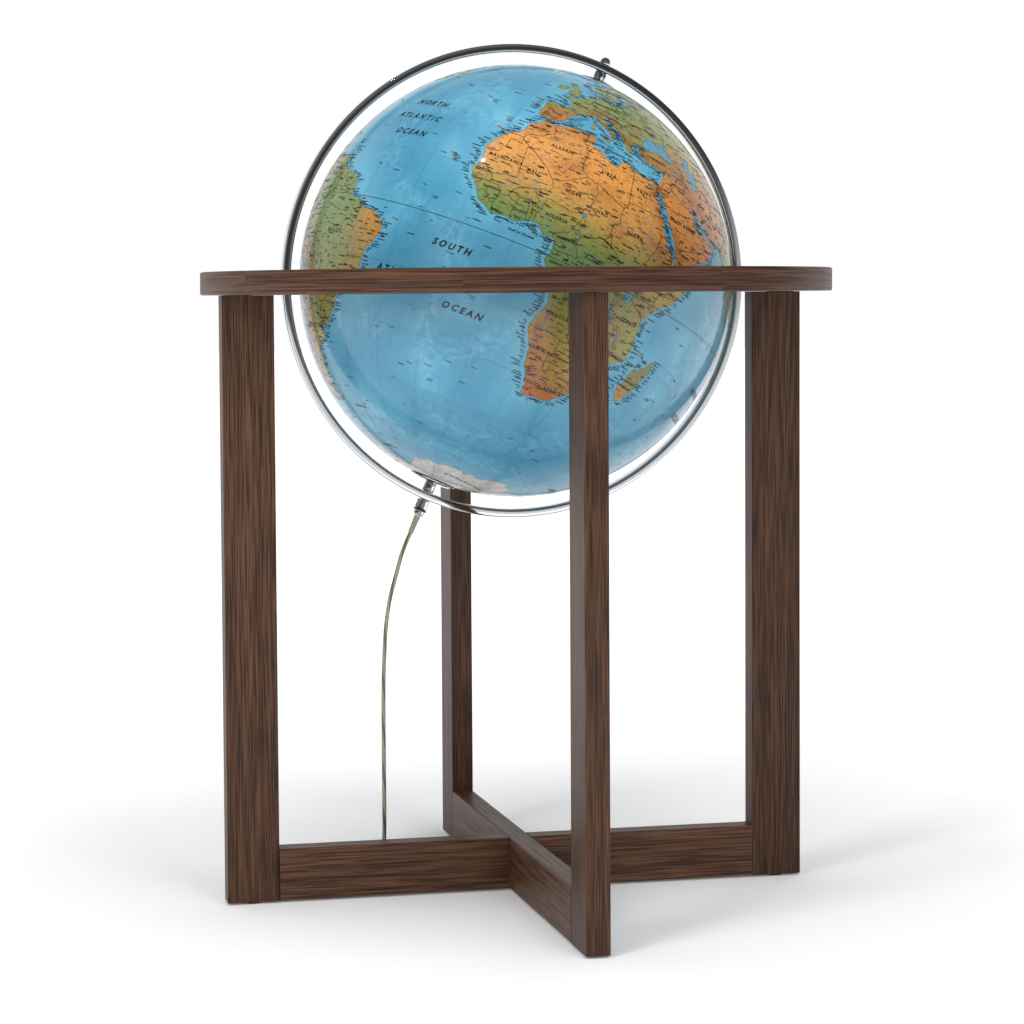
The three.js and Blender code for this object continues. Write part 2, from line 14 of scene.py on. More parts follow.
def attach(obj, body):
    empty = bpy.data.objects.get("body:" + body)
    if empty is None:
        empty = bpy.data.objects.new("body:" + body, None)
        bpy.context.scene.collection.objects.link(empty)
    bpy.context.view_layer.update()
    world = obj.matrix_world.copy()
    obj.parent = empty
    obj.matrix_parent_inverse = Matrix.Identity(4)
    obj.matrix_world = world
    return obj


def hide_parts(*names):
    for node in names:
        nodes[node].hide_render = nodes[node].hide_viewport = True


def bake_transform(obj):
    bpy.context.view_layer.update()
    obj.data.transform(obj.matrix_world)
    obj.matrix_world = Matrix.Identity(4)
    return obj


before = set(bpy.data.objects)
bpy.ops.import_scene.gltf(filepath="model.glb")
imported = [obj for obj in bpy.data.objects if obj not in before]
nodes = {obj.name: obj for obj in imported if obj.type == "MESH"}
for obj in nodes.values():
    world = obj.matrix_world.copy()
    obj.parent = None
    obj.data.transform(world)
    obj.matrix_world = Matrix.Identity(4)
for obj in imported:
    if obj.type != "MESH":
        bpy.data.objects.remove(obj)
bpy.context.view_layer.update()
rng = random.Random(7)

MM = 0.001
CENTRE = Vector((0, 0, 0.71075))  # middle of the globe
TILT = math.radians(23.5)
GLOBE_R = 0.250
CORD_R = 0.0025


def linked(name, data):
    """New object of the data, linked to the scene."""
    obj = bpy.data.objects.new(name, data)
    bpy.context.scene.collection.objects.link(obj)
    return obj


# ---------------------------------------------------------------- camera

CAM_AZ = math.radians(-14.1539)
CAM_DISTANCE = 3.0872
CAM_HEIGHT = 0.6946
CAM_YAW = math.radians(2.4952)
CAM_PITCH = math.radians(2.8843)
CAM_ROLL = math.radians(-0.4492)
CAM_LENS, CAM_SENSOR = 93.15, 36
CAM_SHIFT = (0.1094, -0.0801)


def make_camera():
    data = bpy.data.cameras.new("camera")
    data.lens, data.sensor_width = CAM_LENS, CAM_SENSOR
    data.shift_x, data.shift_y = CAM_SHIFT
    data.clip_end = 60
    cam = linked("camera", data)
    heading = CAM_AZ + CAM_YAW
    forward = Vector((-math.sin(heading) * math.cos(CAM_PITCH), math.cos(heading) * math.cos(CAM_PITCH),
                      -math.sin(CAM_PITCH)))
    right = Vector((math.cos(heading), math.sin(heading), 0))
    up = right.cross(forward)
    rolled_right = right * math.cos(CAM_ROLL) + up * math.sin(CAM_ROLL)
    rolled_up = up * math.cos(CAM_ROLL) - right * math.sin(CAM_ROLL)
    turn = Matrix((rolled_right, rolled_up, -forward)).transposed().to_4x4()
    place = Vector((math.sin(CAM_AZ) * CAM_DISTANCE, -math.cos(CAM_AZ) * CAM_DISTANCE, CAM_HEIGHT))
    cam.matrix_world = Matrix.Translation(place) @ turn
    bpy.context.scene.camera = cam


make_camera()


# ---------------------------------------------------------------- node helpers

class Tree:
    """Short way to write a material's nodes."""

    def __init__(self, name):
        self.material = bpy.data.materials.new(name)
        self.material.use_nodes = True
        self.nodes = self.material.node_tree.nodes
        self.links = self.material.node_tree.links
        self.bsdf = next(n for n in self.nodes if n.type == "BSDF_PRINCIPLED")

    def put(self, socket, value):
        if hasattr(value, "is_linked"):
            self.links.new(value, socket)
        elif value is not None:
            socket.default_value = value

    def add(self, kind, inputs=(), **settings):
        node = self.nodes.new(kind)
        for key, value in settings.items():
            setattr(node, key, value)
        for key, value in dict(inputs).items():
            self.put(node.inputs[key], value)
        return node

    def coords(self, scale=(1, 1, 1), rotation=(0, 0, 0)):
        at = self.add("ShaderNodeTexCoord").outputs["Object"]
        turn = self.add("ShaderNodeMapping", {"Vector": at, "Rotation": rotation})
        return self.add("ShaderNodeMapping", {"Vector": turn.outputs[0], "Scale": scale}).outputs[0]

    def noise(self, vector, scale, detail=4.0, roughness=0.55, distortion=0.0):
        return self.add("ShaderNodeTexNoise", {"Vector": vector, "Scale": scale, "Detail": detail,
                        "Roughness": roughness, "Distortion": distortion}).outputs["Fac"]

    def attribute(self, name):
        return self.add("ShaderNodeAttribute", attribute_name=name)

    def maths(self, operation, a, b=None, clamp=False):
        node = self.add("ShaderNodeMath", operation=operation, use_clamp=clamp)
        self.put(node.inputs[0], a)
        self.put(node.inputs[1], b)
        return node.outputs[0]

    def span(self, value, low, high, to_low=0.0, to_high=1.0):
        return self.add("ShaderNodeMapRange", {"Value": value, "From Min": low, "From Max": high,
                        "To Min": to_low, "To Max": to_high}).outputs["Result"]

    def ramp(self, fac, stops):
        node = self.add("ShaderNodeValToRGB", {"Fac": fac})
        band = node.color_ramp
        while len(band.elements) < len(stops):
            band.elements.new(0.5)
        for element, (at, color) in zip(band.elements, stops):
            element.position = at
            element.color = rgb(color)
        return node.outputs["Color"]

    def mix(self, fac, a, b, blend="MIX"):
        node = self.add("ShaderNodeMix", data_type="RGBA", blend_type=blend)
        self.put(node.inputs[0], fac)
        self.put(node.inputs[6], a)
        self.put(node.inputs[7], b)
        return node.outputs[2]

    def bump(self, height, distance, strength=1.0, normal=None):
        return self.add("ShaderNodeBump", {"Height": height, "Distance": distance, "Strength": strength,
                        "Normal": normal}).outputs["Normal"]

    def finish(self, color=None, roughness=None, metallic=None, normal=None, **more):
        for key, value in (("Base Color", color), ("Roughness", roughness), ("Metallic", metallic),
                           ("Normal", normal)):
            self.put(self.bsdf.inputs[key], value)
        for key, value in more.items():
            self.put(self.bsdf.inputs[key.replace("_", " ")], value)
        return self.material


def rgb(text):
    """Linear colour from an sRGB hex such as "8a6642"."""
    channels = [int(text[i:i + 2], 16) / 255 for i in (0, 2, 4)]
    linear = [c / 12.92 if c < 0.04045 else ((c + 0.055) / 1.055) ** 2.4 for c in channels]
    return (*linear, 1.0)


# ---------------------------------------------------------------- materials

def wood(name, rotation, seed, level="ffffff", bent=0.0):
    """Stained open-grained wood. After the rotation the grain runs along X, or round Z at radius bent.
    Each seed takes another place in the noise, and level darkens the whole."""
    t = Tree(name)
    at = t.coords(rotation=rotation)
    if bent:
        flat = t.add("ShaderNodeSeparateXYZ", {0: at}).outputs
        turn = t.maths("MULTIPLY", t.maths("ARCTAN2", flat["Y"], flat["X"]), bent)
        reach = t.maths("POWER", t.maths("ADD", t.maths("MULTIPLY", flat["X"], flat["X"]),
                                         t.maths("MULTIPLY", flat["Y"], flat["Y"])), 0.5)
        at = t.add("ShaderNodeCombineXYZ", {"X": turn, "Y": reach, "Z": flat["Z"]}).outputs[0]
    place = (seed * 1.7, seed * 0.9, seed * 2.3)
    at = t.add("ShaderNodeMapping", {"Vector": at, "Location": place}).outputs[0]

    def stretched(*scale):
        return t.add("ShaderNodeMapping", {"Vector": at, "Scale": scale}).outputs[0]

    broad = t.noise(stretched(0.9, 22, 22), 1.0, detail=2, distortion=0.3)
    streaks = t.noise(stretched(1.6, 330, 330), 1.0, detail=4, roughness=0.55, distortion=0.2)
    pores = t.noise(stretched(14, 800, 800), 1.0, detail=2)
    across = t.add("ShaderNodeSeparateXYZ", {0: at}).outputs
    lines = t.maths("ADD", t.maths("MULTIPLY", across["Y"], 620), t.maths("MULTIPLY", across["Z"], 410))
    lines = t.maths("ADD", lines, t.maths("MULTIPLY", across["X"], 9 - 18 * (seed % 2)))
    rings = t.span(t.maths("SINE", t.maths("ADD", lines, t.maths("MULTIPLY", broad, 34))), 0.2, 1.0)
    tone = t.ramp(broad, [(0.32, "5b3c2b"), (0.46, "63432f"), (0.6, "6b4a35"), (0.72, "72513a")])
    cool = t.ramp(streaks, [(0.3, "4f3728"), (0.5, "654835"), (0.72, "785a45")])
    color = t.mix(0.4, tone, cool)
    color = t.mix(t.maths("MULTIPLY", rings, 0.4), color, rgb("36241a"))
    dark_pores = t.span(pores, 0.40, 0.58, 0.5, 1.0)
    color = t.mix(1.0, color, t.ramp(dark_pores, [(0.0, "000000"), (0.5, "98908c"), (1.0, "ffffff")]),
                  "MULTIPLY")
    color = t.mix(1.0, color, rgb(level), "MULTIPLY")
    height = t.maths("SUBTRACT", t.maths("MULTIPLY", pores, 0.7), t.maths("MULTIPLY", rings, 0.5))
    rough = t.span(streaks, 0.3, 0.7, 0.42, 0.56)
    return t.finish(color, rough, 0.0, t.bump(height, 0.0002, 0.45), Coat_Weight=0.06,
                    Coat_Roughness=0.3, Specular_IOR_Level=0.22)


def metal(name, color, roughness, scratch=0.0):
    t = Tree(name)
    fine = t.noise(t.coords(), 900, detail=3)
    cloud = t.noise(t.coords(), 30, detail=3)
    rough = t.span(cloud, 0.3, 0.7, roughness * 0.8, roughness * 1.3)
    normal = t.bump(fine, 0.00002, scratch) if scratch else None
    return t.finish(rgb(color), rough, 1.0, normal)


def plastic(name, color, roughness, dark=0.9, grain=400, depth=0.00003):
    t = Tree(name)
    cloud = t.noise(t.coords(), 25, detail=4)
    fine = t.noise(t.coords(), grain, detail=2)
    base = rgb(color)
    shade = tuple(c * dark for c in base[:3]) + (1.0,)
    rough = t.span(cloud, 0.3, 0.7, roughness * 0.9, roughness * 1.1)
    return t.finish(t.mix(cloud, shade, base), rough, 0.0, t.bump(fine, depth, 0.6))


def chrome_with_painted_reflections():
    """Chromed fittings on the axle, with painted reflections: fine light and dark bands along it, put into
    the colour.
    """
    t = Tree("chrome_with_painted_reflections")
    # Painted reflection: these bands, from dark grey to near white in the colour, stand in for the surround
    # mirrored in the chrome.
    painted_reflection_band = t.noise(t.coords(scale=(260, 260, 3), rotation=(0, -TILT, 0)), 1.0, detail=2)
    color = t.ramp(painted_reflection_band, [(0.36, "3c3f42"), (0.5, "9fa2a5"), (0.62, "f0f1f2")])
    return t.finish(color, 0.08, 1.0)


CHROME_WITH_PAINTED_REFLECTIONS = chrome_with_painted_reflections()
CHROME = metal("chrome", "c6c9cc", 0.05)
STEEL = metal("zinc_steel", "a4a7aa", 0.28, 0.2)
PIN = metal("nickelled_brass", "cdc294", 0.2, 0.1)
RUBBER = plastic("black_rubber", "141414", 0.75)
NYLON = plastic("natural_nylon", "d8d4c8", 0.5)
BLACK = plastic("black_plastic", "1d1d1e", 0.42)
FELT = plastic("felt", "3b342e", 0.95, dark=0.6, grain=1500, depth=0.0004)
CERAMIC = plastic("lamp_ceramic", "dcd9cf", 0.35)
OPAL = plastic("opal_glass", "f2f0e8", 0.25)


def lead_material():
    """Clear sheath over two bright cores, which show as pale and olive stripes round the lead."""
    t = Tree("lead_sheath")
    turn = t.attribute("core").outputs["Fac"]
    wave = t.maths("SINE", t.maths("MULTIPLY", turn, 2 * math.pi))
    color = t.ramp(t.span(wave, -1, 1),
                   [(0.0, "4b4a38"), (0.35, "6f6d54"), (0.6, "a19e86"), (1.0, "8b8468")])
    fine = t.noise(t.coords(), 300, detail=2)
    return t.finish(t.mix(t.span(fine, 0.3, 0.7, 0.0, 0.25), color, rgb("59583f")), 0.25, 0.0, None,
                    Coat_Weight=0.5, Coat_Roughness=0.1)


LEAD = lead_material()


def beech():
    t = Tree("beech")
    grain = t.noise(t.coords(scale=(40, 40, 400)), 1.0, detail=3)
    return t.finish(t.ramp(grain, [(0.3, "b08f63"), (0.7, "d0b184")]), 0.6, 0.0, t.bump(grain, 0.0001, 0.3))


BEECH = beech()

# ---------------------------------------------------------------- mesh helpers


def put(obj, body, material):
    """Material, slot and body for a finished piece."""
    if material is not None:
        obj.data.materials.append(material)
    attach(obj, body)
    return obj


def mesh_object(name, points, faces, smooth_angle=None):
    mesh = bpy.data.meshes.new(name)
    mesh.from_pydata([tuple(p) for p in points], [], faces)
    mesh.validate()
    obj = linked(name, mesh)
    if smooth_angle is not None:
        for polygon in mesh.polygons:
            polygon.use_smooth = True
        mesh.set_sharp_from_angle(angle=math.radians(smooth_angle))
    return obj


def turned(name, profile, along, segments=96, wobble=None, smooth_angle=32):
    """Body of revolution about a line through the globe's middle, from (radius, distance) pairs in mm.
    The outline closes on the axis, or on itself where every radius is above nought."""
    hollow = all(r > 0 for r, _ in profile)
    toward = Vector(along).normalized()
    basis = toward.to_track_quat("Z", "Y").to_matrix()
    points, faces, rings = [], [], []
    for r, h in profile:
        if r == 0:
            rings.append([len(points)] * segments)
            points.append(CENTRE + toward * h * MM)
            continue
        rings.append(list(range(len(points), len(points) + segments)))
        for i in range(segments):
            a = 2 * math.pi * i / segments
            radius = r + (wobble(a, r) if wobble else 0.0)
            spot = Vector((radius * math.cos(a), radius * math.sin(a), h)) * MM
            points.append(CENTRE + basis @ spot)
    pairs = list(zip(rings, rings[1:])) + ([(rings[-1], rings[0])] if hollow else [])
    for low, high in pairs:
        for i in range(segments):
            j = (i + 1) % segments
            ring = [low[i], low[j], high[j], high[i]]
            face = [v for k, v in enumerate(ring) if v != ring[k - 1]]
            if len(face) > 2:
                faces.append(face)
    obj = mesh_object(name, points, faces, smooth_angle)
    outward(obj)
    return obj


def outward(obj):
    """Turns every face of a closed mesh outwards."""
    mesh = obj.data
    volume = 0.0
    for polygon in mesh.polygons:
        corners = [mesh.vertices[v].co for v in polygon.vertices]
        for b, c in zip(corners[1:], corners[2:]):
            volume += corners[0].dot(b.cross(c))
    if volume < 0:
        mesh.flip_normals()


def rounded(width, height, radius, steps=6):
    """Rounded rectangle about the origin, as (u, v) pairs."""
    points = []
    for corner, (sx, sy) in enumerate(((1, 1), (-1, 1), (-1, -1), (1, -1))):
        for i in range(steps + 1):
            a = (corner + i / steps) * math.pi / 2
            points.append((sx * (width / 2 - radius) + radius * math.cos(a),
                           sy * (height / 2 - radius) + radius * math.sin(a)))
    return points


def swept(name, section, spots, frames, closed=False, smooth_angle=40):
    """Sweeps a closed (u, v) section through spots. Each frame is the pair of directions of u and v."""
    n = len(section)
    points = [spot + u * a + v * b for spot, (u, v) in zip(spots, frames) for a, b in section]
    faces = []
    count = len(spots)
    for k in range(count if closed else count - 1):
        here, there = k * n, ((k + 1) % count) * n
        for i in range(n):
            j = (i + 1) % n
            faces.append((here + i, here + j, there + j, there + i))
    if not closed:
        faces.append(tuple(range(n - 1, -1, -1)))
        faces.append(tuple((count - 1) * n + i for i in range(n)))
    obj = mesh_object(name, points, faces, smooth_angle)
    outward(obj)
    return obj


# ---------------------------------------------------------------- the lead comes first

AXIS = Vector((math.sin(TILT), 0, math.cos(TILT)))  # towards the north pole


def on_axle(mm):
    """Point on the southern axle, that far from the globe's middle."""
    return CENTRE - AXIS * mm * MM


LEAD_FROM = 294.0  # mm from the globe's middle to the end face of the gland
COIL_AT = Vector((-0.250, 0.120, 0))
LEAD_SPACING = 2.5  # mm between cross-sections of the lead
LEAD_SIDES = 12
CORE_LAY = 0.045  # turn of the cores from one cross-section to the next

# Route of the lead before and after the coil, in mm.
DROP = [on_axle(LEAD_FROM), on_axle(316), on_axle(340)] + [Vector(p) * MM for p in (
    (-144, 1, 369), (-150.5, 4, 342), (-154, 9, 310), (-155, 15, 275), (-155, 21, 235),
    (-154, 27, 195), (-153, 32, 155), (-152, 37, 115), (-151, 42, 80), (-151, 46, 52),
    (-153, 49, 30), (-159, 51, 12.5), (-168, 52, 4.2), (-178, 52, 3.4), (-189, 52, 5.1),
    (-197, 52, 5.5), (-216, 52, 5.5), (-236, 52, 5.5), (-255, 52, 5.5), (-262, 52, 5.1),
    (-273, 56, 3.4), (-282, 66, 2.8), (-289, 78, 2.8), (-290, 92, 3.2), (-287.5, 107, 3.9))]
TAIL = [Vector(p) * MM for p in ((-236, 160, 9.2), (-224, 159.5, 8.6), (-212, 157.5, 7.6),
                                 (-203, 155.6, 7.3), (-195.8, 155, 7.3))]
COIL_STEP = 16  # points in a turn
COIL_LAYERS = (((35.0, 30.0, 25.0), 4.0), ((25.0, 30.0, 35.0), 9.0))  # radii and height, mm


def coil_points():
    """Two layers of turns, inwards below and outwards above, clockwise from the left side."""
    spots = []
    total = 5 * COIL_STEP + COIL_STEP // 4
    radii = [(r, z) for layer, z in COIL_LAYERS for r in layer]
    for k in range(total + 1):
        turn = k / COIL_STEP
        index = min(int(turn), len(radii) - 1)
        part = turn - index
        ease = max(0.0, (part - 0.72) / 0.28)
        ease = ease * ease * (3 - 2 * ease)
        r0, z0 = radii[index]
        r1, z1 = radii[min(index + 1, len(radii) - 1)]
        a = math.pi - 2 * math.pi * turn
        r, z = r0 + (r1 - r0) * ease, z0 + (z1 - z0) * ease
        spots.append(COIL_AT + Vector((r * math.cos(a), r * math.sin(a), z)) * MM)
    return spots


def smooth_path(points, spacing):
    """Smooth cubic curve through the points, at about even spacing."""
    ends = [points[0] * 2 - points[1]] + points + [points[-1] * 2 - points[-2]]
    dense = []
    for a, b, c, d in zip(ends, ends[1:], ends[2:], ends[3:]):
        steps = max(2, int((c - b).length / spacing * 3))
        ta, tb = (c - a) * 0.5, (d - b) * 0.5
        scale = (c - b).length
        ta = ta.normalized() * scale
        tb = tb.normalized() * scale
        for i in range(steps):
            s = i / steps
            dense.append(b * (2 * s ** 3 - 3 * s ** 2 + 1) + ta * (s ** 3 - 2 * s ** 2 + s)
                         + c * (-2 * s ** 3 + 3 * s ** 2) + tb * (s ** 3 - s ** 2))
    dense.append(points[-1])
    even = [dense[0]]
    for p, q in zip(dense, dense[1:]):
        while (q - even[-1]).length >= spacing and (q - p).length > 0:
            step = (q - even[-1]).normalized() * spacing
            even.append(even[-1] + step)
            if (even[-1] - q).length < spacing * 1e-3:
                break
    if (dense[-1] - even[-1]).length > spacing * 0.3:
        even.append(dense[-1])
    return even


def make_lead():
    """The lead as one tube. Returns the object, the path along its middle and its length."""
    path = smooth_path(DROP + coil_points()[1:] + TAIL, LEAD_SPACING * MM)
    sides = LEAD_SIDES
    points, cores, faces = [], [], []
    side = Vector((0, 1, 0))
    for k, spot in enumerate(path):
        ahead = path[min(k + 1, len(path) - 1)] - path[max(k - 1, 0)]
        side = (side - ahead.normalized() * side.dot(ahead.normalized())).normalized()
        across = ahead.normalized().cross(side)
        for i in range(sides):
            a = 2 * math.pi * i / sides
            points.append(spot + (side * math.cos(a) + across * math.sin(a)) * CORD_R)
            cores.append(i / sides * 2 + k * CORE_LAY)
        if k:
            for i in range(sides):
                j = (i + 1) % sides
                low, high = (k - 1) * sides, k * sides
                faces.append((low + i, low + j, high + j, high + i))
    faces.append(tuple(range(sides - 1, -1, -1)))
    faces.append(tuple(len(points) - sides + i for i in range(sides)))
    obj = mesh_object("lead", points, faces, 50)
    outward(obj)
    attribute = obj.data.attributes.new("core", "FLOAT", "POINT")
    attribute.data.foreach_set("value", cores)
    obj.data.materials.append(LEAD)
    length = sum((q - p).length for p, q in zip(path, path[1:]))
    return obj, path, length


lead, lead_path, lead_length = make_lead()
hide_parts("cord_drop", "cord_run", "cord_coil", "cord_tail")
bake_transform(lead)


def make_relief():
    """Ribbed, tapered sleeve where the lead leaves the gland."""
    profile = [(2.6, LEAD_FROM), (3.9, LEAD_FROM), (3.9, LEAD_FROM + 1.5)]
    for i in range(6):
        h = LEAD_FROM + 2.4 + 3.1 * i
        r = 3.8 - 0.1 * i
        profile += [(r, h), (r, h + 1.6), (r - 0.4, h + 2.0), (r - 0.4, h + 2.7)]
    profile += [(3.1, LEAD_FROM + 22), (2.6, LEAD_FROM + 22)]
    return turned("lead_sleeve", profile, -AXIS, segments=24, smooth_angle=40)


relief = make_relief()
relief.data.materials.append(LEAD)
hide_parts("strain_relief")
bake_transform(relief)

# ---------------------------------------------------------------- turned metal at the centre

# Radii and distances from the globe's middle, in mm.
MERIDIAN_OUT, MERIDIAN_BAR, MERIDIAN_W = 274.0, 9.5, 19.0
MERIDIAN_IN = MERIDIAN_OUT - MERIDIAN_BAR
SEAT = MERIDIAN_IN - 0.75  # inner end face of what bears on the bar
SPACER_FROM = 253.5
FITTING_FROM = 274.3  # inner face of what sits outside the bar
NORTH_BORE, SOUTH_BORE = 4.3, 5.3  # clear the stud and the axle tube
NORTH_HOLE, SOUTH_HOLE = 4.12, 5.12  # through the bar
SPACER_R = 7


def sphere_height(r):
    """Distance along the axle to the sphere at radius r, in mm."""
    return math.sqrt((GLOBE_R / MM) ** 2 - r ** 2)


def pole_disc(name, bore, toward):
    """Spun cap with a rolled rim and a shallow step round its middle."""
    under = [(r, sphere_height(r) + 0.7) for r in (27.0, 22.0, 16.0, 10.0, bore)]
    rim = sphere_height(27.5) + 0.7
    top = [(bore, 253.2), (9.6, 253.2), (10.3, 252.9), (10.8, 252.7), (16, 252.6), (20, 252.3),
           (23.5, 251.7), (25.4, rim + 1.6), (26.6, rim + 1.3), (27.4, rim + 0.8), (27.5, rim + 0.4)]
    return turned(name, under + top, toward, segments=128, smooth_angle=40)


def tube_piece(name, r, bore, low, high, toward, edge=0.4):
    profile = [(bore, low), (r - edge, low), (r, low + edge), (r, high - edge), (r - edge, high),
               (bore, high)]
    return turned(name, profile, toward, segments=96, smooth_angle=60)


def knurl(a, r):
    """Straight knurling on the outer face of the lower nut, in mm at angle a and radius r."""
    return 0.11 * math.cos(44 * a) if r > 6.7 else 0.0


north, south = AXIS, -AXIS
RIGHT = Vector((1, 0, 0))

put(pole_disc("pole_cap_north", 4.5, north), "globe", CHROME)
put(pole_disc("pole_cap_south", 5.5, south), "globe", CHROME)
for name, bore, toward in (("spacer_north", NORTH_BORE, north), ("spacer_south", SOUTH_BORE, south)):
    put(tube_piece(name, SPACER_R, bore, SPACER_FROM, SEAT, toward), "meridian", CHROME_WITH_PAINTED_REFLECTIONS)
dome = [(0, 283.3)] + [(6.1 * math.cos(a), 277.6 + 5.7 * math.sin(a))
                       for a in (math.radians(d) for d in range(84, -1, -12))]
dome += [(6.5, 277.2), (6.5, 274.9), (6.1, FITTING_FROM), (NORTH_BORE, FITTING_FROM),
         (NORTH_BORE, 278.8), (0, 278.8)]
put(turned("domed_nut", dome, north, smooth_angle=45), "meridian", CHROME)
nut = [(SOUTH_BORE, FITTING_FROM), (6.3, FITTING_FROM), (6.5, 274.6), (7.0, 275.2), (7.0, 284.6),
       (6.5, 285.2), (6.3, 285.5), (SOUTH_BORE, 285.5)]
put(turned("lower_nut", nut, south, segments=352, wobble=knurl), "meridian", CHROME_WITH_PAINTED_REFLECTIONS)
seal = [(SOUTH_BORE, 285.8)] + [(6.9 + 1.1 * math.cos(a), 286.9 + 1.1 * math.sin(a))
                                for a in (math.radians(d) for d in range(-90, 91, 15))] + [(SOUTH_BORE,
                                288.0)]
put(turned("lower_seal", seal, south), "meridian", RUBBER)
gland = [(2.8, 288.3), (6.2, 288.3), (6.5, 288.6), (6.5, 292.3), (6.2, 292.9), (5.4, 293.6), (2.8, 293.7)]
put(turned("lead_gland", gland, south), "meridian", CHROME_WITH_PAINTED_REFLECTIONS)
for old, new in (("north_pole_disc", "pole_cap_north"), ("south_pole_disc", "pole_cap_south"),
                 ("north_spacer", "spacer_north"), ("south_spacer", "spacer_south"),
                 ("north_dome_nut", "domed_nut"), ("south_nut", "lower_nut"),
                 ("south_seal", "lower_seal"), ("cord_gland", "lead_gland")):
    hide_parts(old)


def meridian():
    """The bar, bent to a full circle, with its four holes."""
    section = [(u * MM, v * MM) for u, v in rounded(MERIDIAN_BAR, MERIDIAN_W, 1.8)]
    middle = (MERIDIAN_OUT - MERIDIAN_BAR / 2) * MM
    count = 288
    spots, frames = [], []
    for k in range(count):
        a = 2 * math.pi * k / count
        out = Vector((math.cos(a), 0, math.sin(a)))
        spots.append(CENTRE + out * middle)
        frames.append((out, Vector((0, 1, 0))))
    ring = swept("meridian_bar", section, spots, frames, closed=True, smooth_angle=50)
    cutters = []
    low, high = MERIDIAN_IN - 9.5, MERIDIAN_OUT + 11
    for toward, r in ((AXIS, NORTH_HOLE), (-AXIS, SOUTH_HOLE), (RIGHT, NORTH_HOLE), (-RIGHT, NORTH_HOLE)):
        drill = turned("drill", [(0, low), (r, low), (r, high), (0, high)], toward, segments=48)
        cut = ring.modifiers.new("hole", "BOOLEAN")
        cut.object, cut.operation, cut.solver = drill, "DIFFERENCE", "EXACT"
        cutters.append(drill)
    bpy.context.view_layer.update()
    cut_mesh = bpy.data.meshes.new_from_object(ring.evaluated_get(bpy.context.evaluated_depsgraph_get()))
    ring.modifiers.clear()
    ring.data = cut_mesh
    for drill in cutters:
        bpy.data.objects.remove(drill)
    for polygon in ring.data.polygons:
        polygon.use_smooth = True
    ring.data.set_sharp_from_angle(angle=math.radians(50))
    return ring


put(meridian(), "meridian", CHROME)
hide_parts("meridian_ring")

for name, toward in (("right", RIGHT), ("left", -RIGHT)):
    sleeve = [(NORTH_BORE, FITTING_FROM), (6.6, FITTING_FROM), (7.0, 274.7), (7.0, 279.8), (10.6, 279.8),
              (11.0, 280.2), (11.0, 281.7), (10.6, 282.1), (8.0, 282.1), (8.0, 307.0), (NORTH_BORE, 307.0)]
    piece = put(turned(f"pivot_sleeve_{name}", sleeve, toward), "stand", CHROME)
    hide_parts(f"pivot_insert_{name}")
    head = [(0, 261.2), (2.4, 261.2), (2.4, 260.75), (6.0, 260.75), (6.8, 261.9), (6.8, SEAT), (4.0, SEAT),
            (4.0, 303.0), (0, 303.0)]
    piece = put(turned(f"pivot_bolt_{name}", head, toward), "stand", STEEL)
    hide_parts(f"pivot_screw_{name}")

# ---------------------------------------------------------------- wooden stand

RING_OUT, RING_IN, RING_H = 364.5, 283.0, 26.5  # mm
GLUE_LINE = 0.02  # mm that each end of a segment stands back
SEGMENTS = 8


def ring_segment(index):
    """One segment of the horizon ring with softened edges. Its grain follows the ring."""
    step = 2 * math.pi / SEGMENTS
    section = [(u * MM, v * MM) for u, v in rounded(RING_OUT - RING_IN, RING_H, 2.2, steps=5)]
    middle = (RING_OUT + RING_IN) / 2 * MM
    count = 24
    spots, frames = [], []
    for k in range(count + 1):
        share = k / count - 0.5
        a = step * index + step * share
        out = Vector((math.cos(a), math.sin(a), 0))
        back = GLUE_LINE * MM * (-1 if share > 0 else 1) if k in (0, count) else 0
        spots.append(CENTRE + out * middle + Vector((-math.sin(a), math.cos(a), 0)) * back)
        frames.append((out, Vector((0, 0, 1))))
    piece = swept(f"horizon_segment_{index + 1}", section, spots, frames, smooth_angle=40)
    grain = wood(f"wood_segment_{index + 1}", (0, 0, -step * index), index + 1, level="dcd6da",
                 bent=middle)
    put(piece, "stand", grain)
    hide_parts(f"ring_segment_{index + 1}")


for index in range(SEGMENTS):
    ring_segment(index)

ALONG_Z, ALONG_X, ALONG_Y = (0, math.pi / 2, 0), (0, 0, 0), (0, 0, -math.pi / 2)


def refinish(node, material):
    """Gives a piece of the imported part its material."""
    node.data.materials.clear()
    node.data.materials.append(material)


for seed, side in enumerate(("left", "right", "front", "back")):
    refinish(nodes[f"post_{side}"], wood(f"wood_post_{side}", ALONG_Z, seed + 11, level="dedbdb"))
for name, rotation, seed in (("rail_left_right", ALONG_X, 21), ("rail_front_back", ALONG_Y, 23)):
    refinish(nodes[name], wood(f"wood_{name}", rotation, seed))

FINISHES = {"pad": FELT, "rail_tenon": BEECH, "post_tenon": BEECH, "north_stud": STEEL, "lamp_tube": STEEL,
            "lamp_holder": CERAMIC, "bulb": OPAL, "equator_band": NYLON, "north_pole_bush": NYLON,
            "south_pole_bush": NYLON, "cord_tie": BLACK, "switch_lower": BLACK, "switch_upper": BLACK,
            "switch_rocker": BLACK, "plug_body": BLACK, "plug_pin": PIN}
for name, node in nodes.items():
    for start, material in FINISHES.items():
        if name.startswith(start):
            refinish(node, material)

# ---------------------------------------------------------------- map data


def pairs(text):
    """Longitude and latitude pairs from "lon,lat lon,lat"."""
    return [tuple(float(x) for x in pair.split(",")) for pair in text.split()]


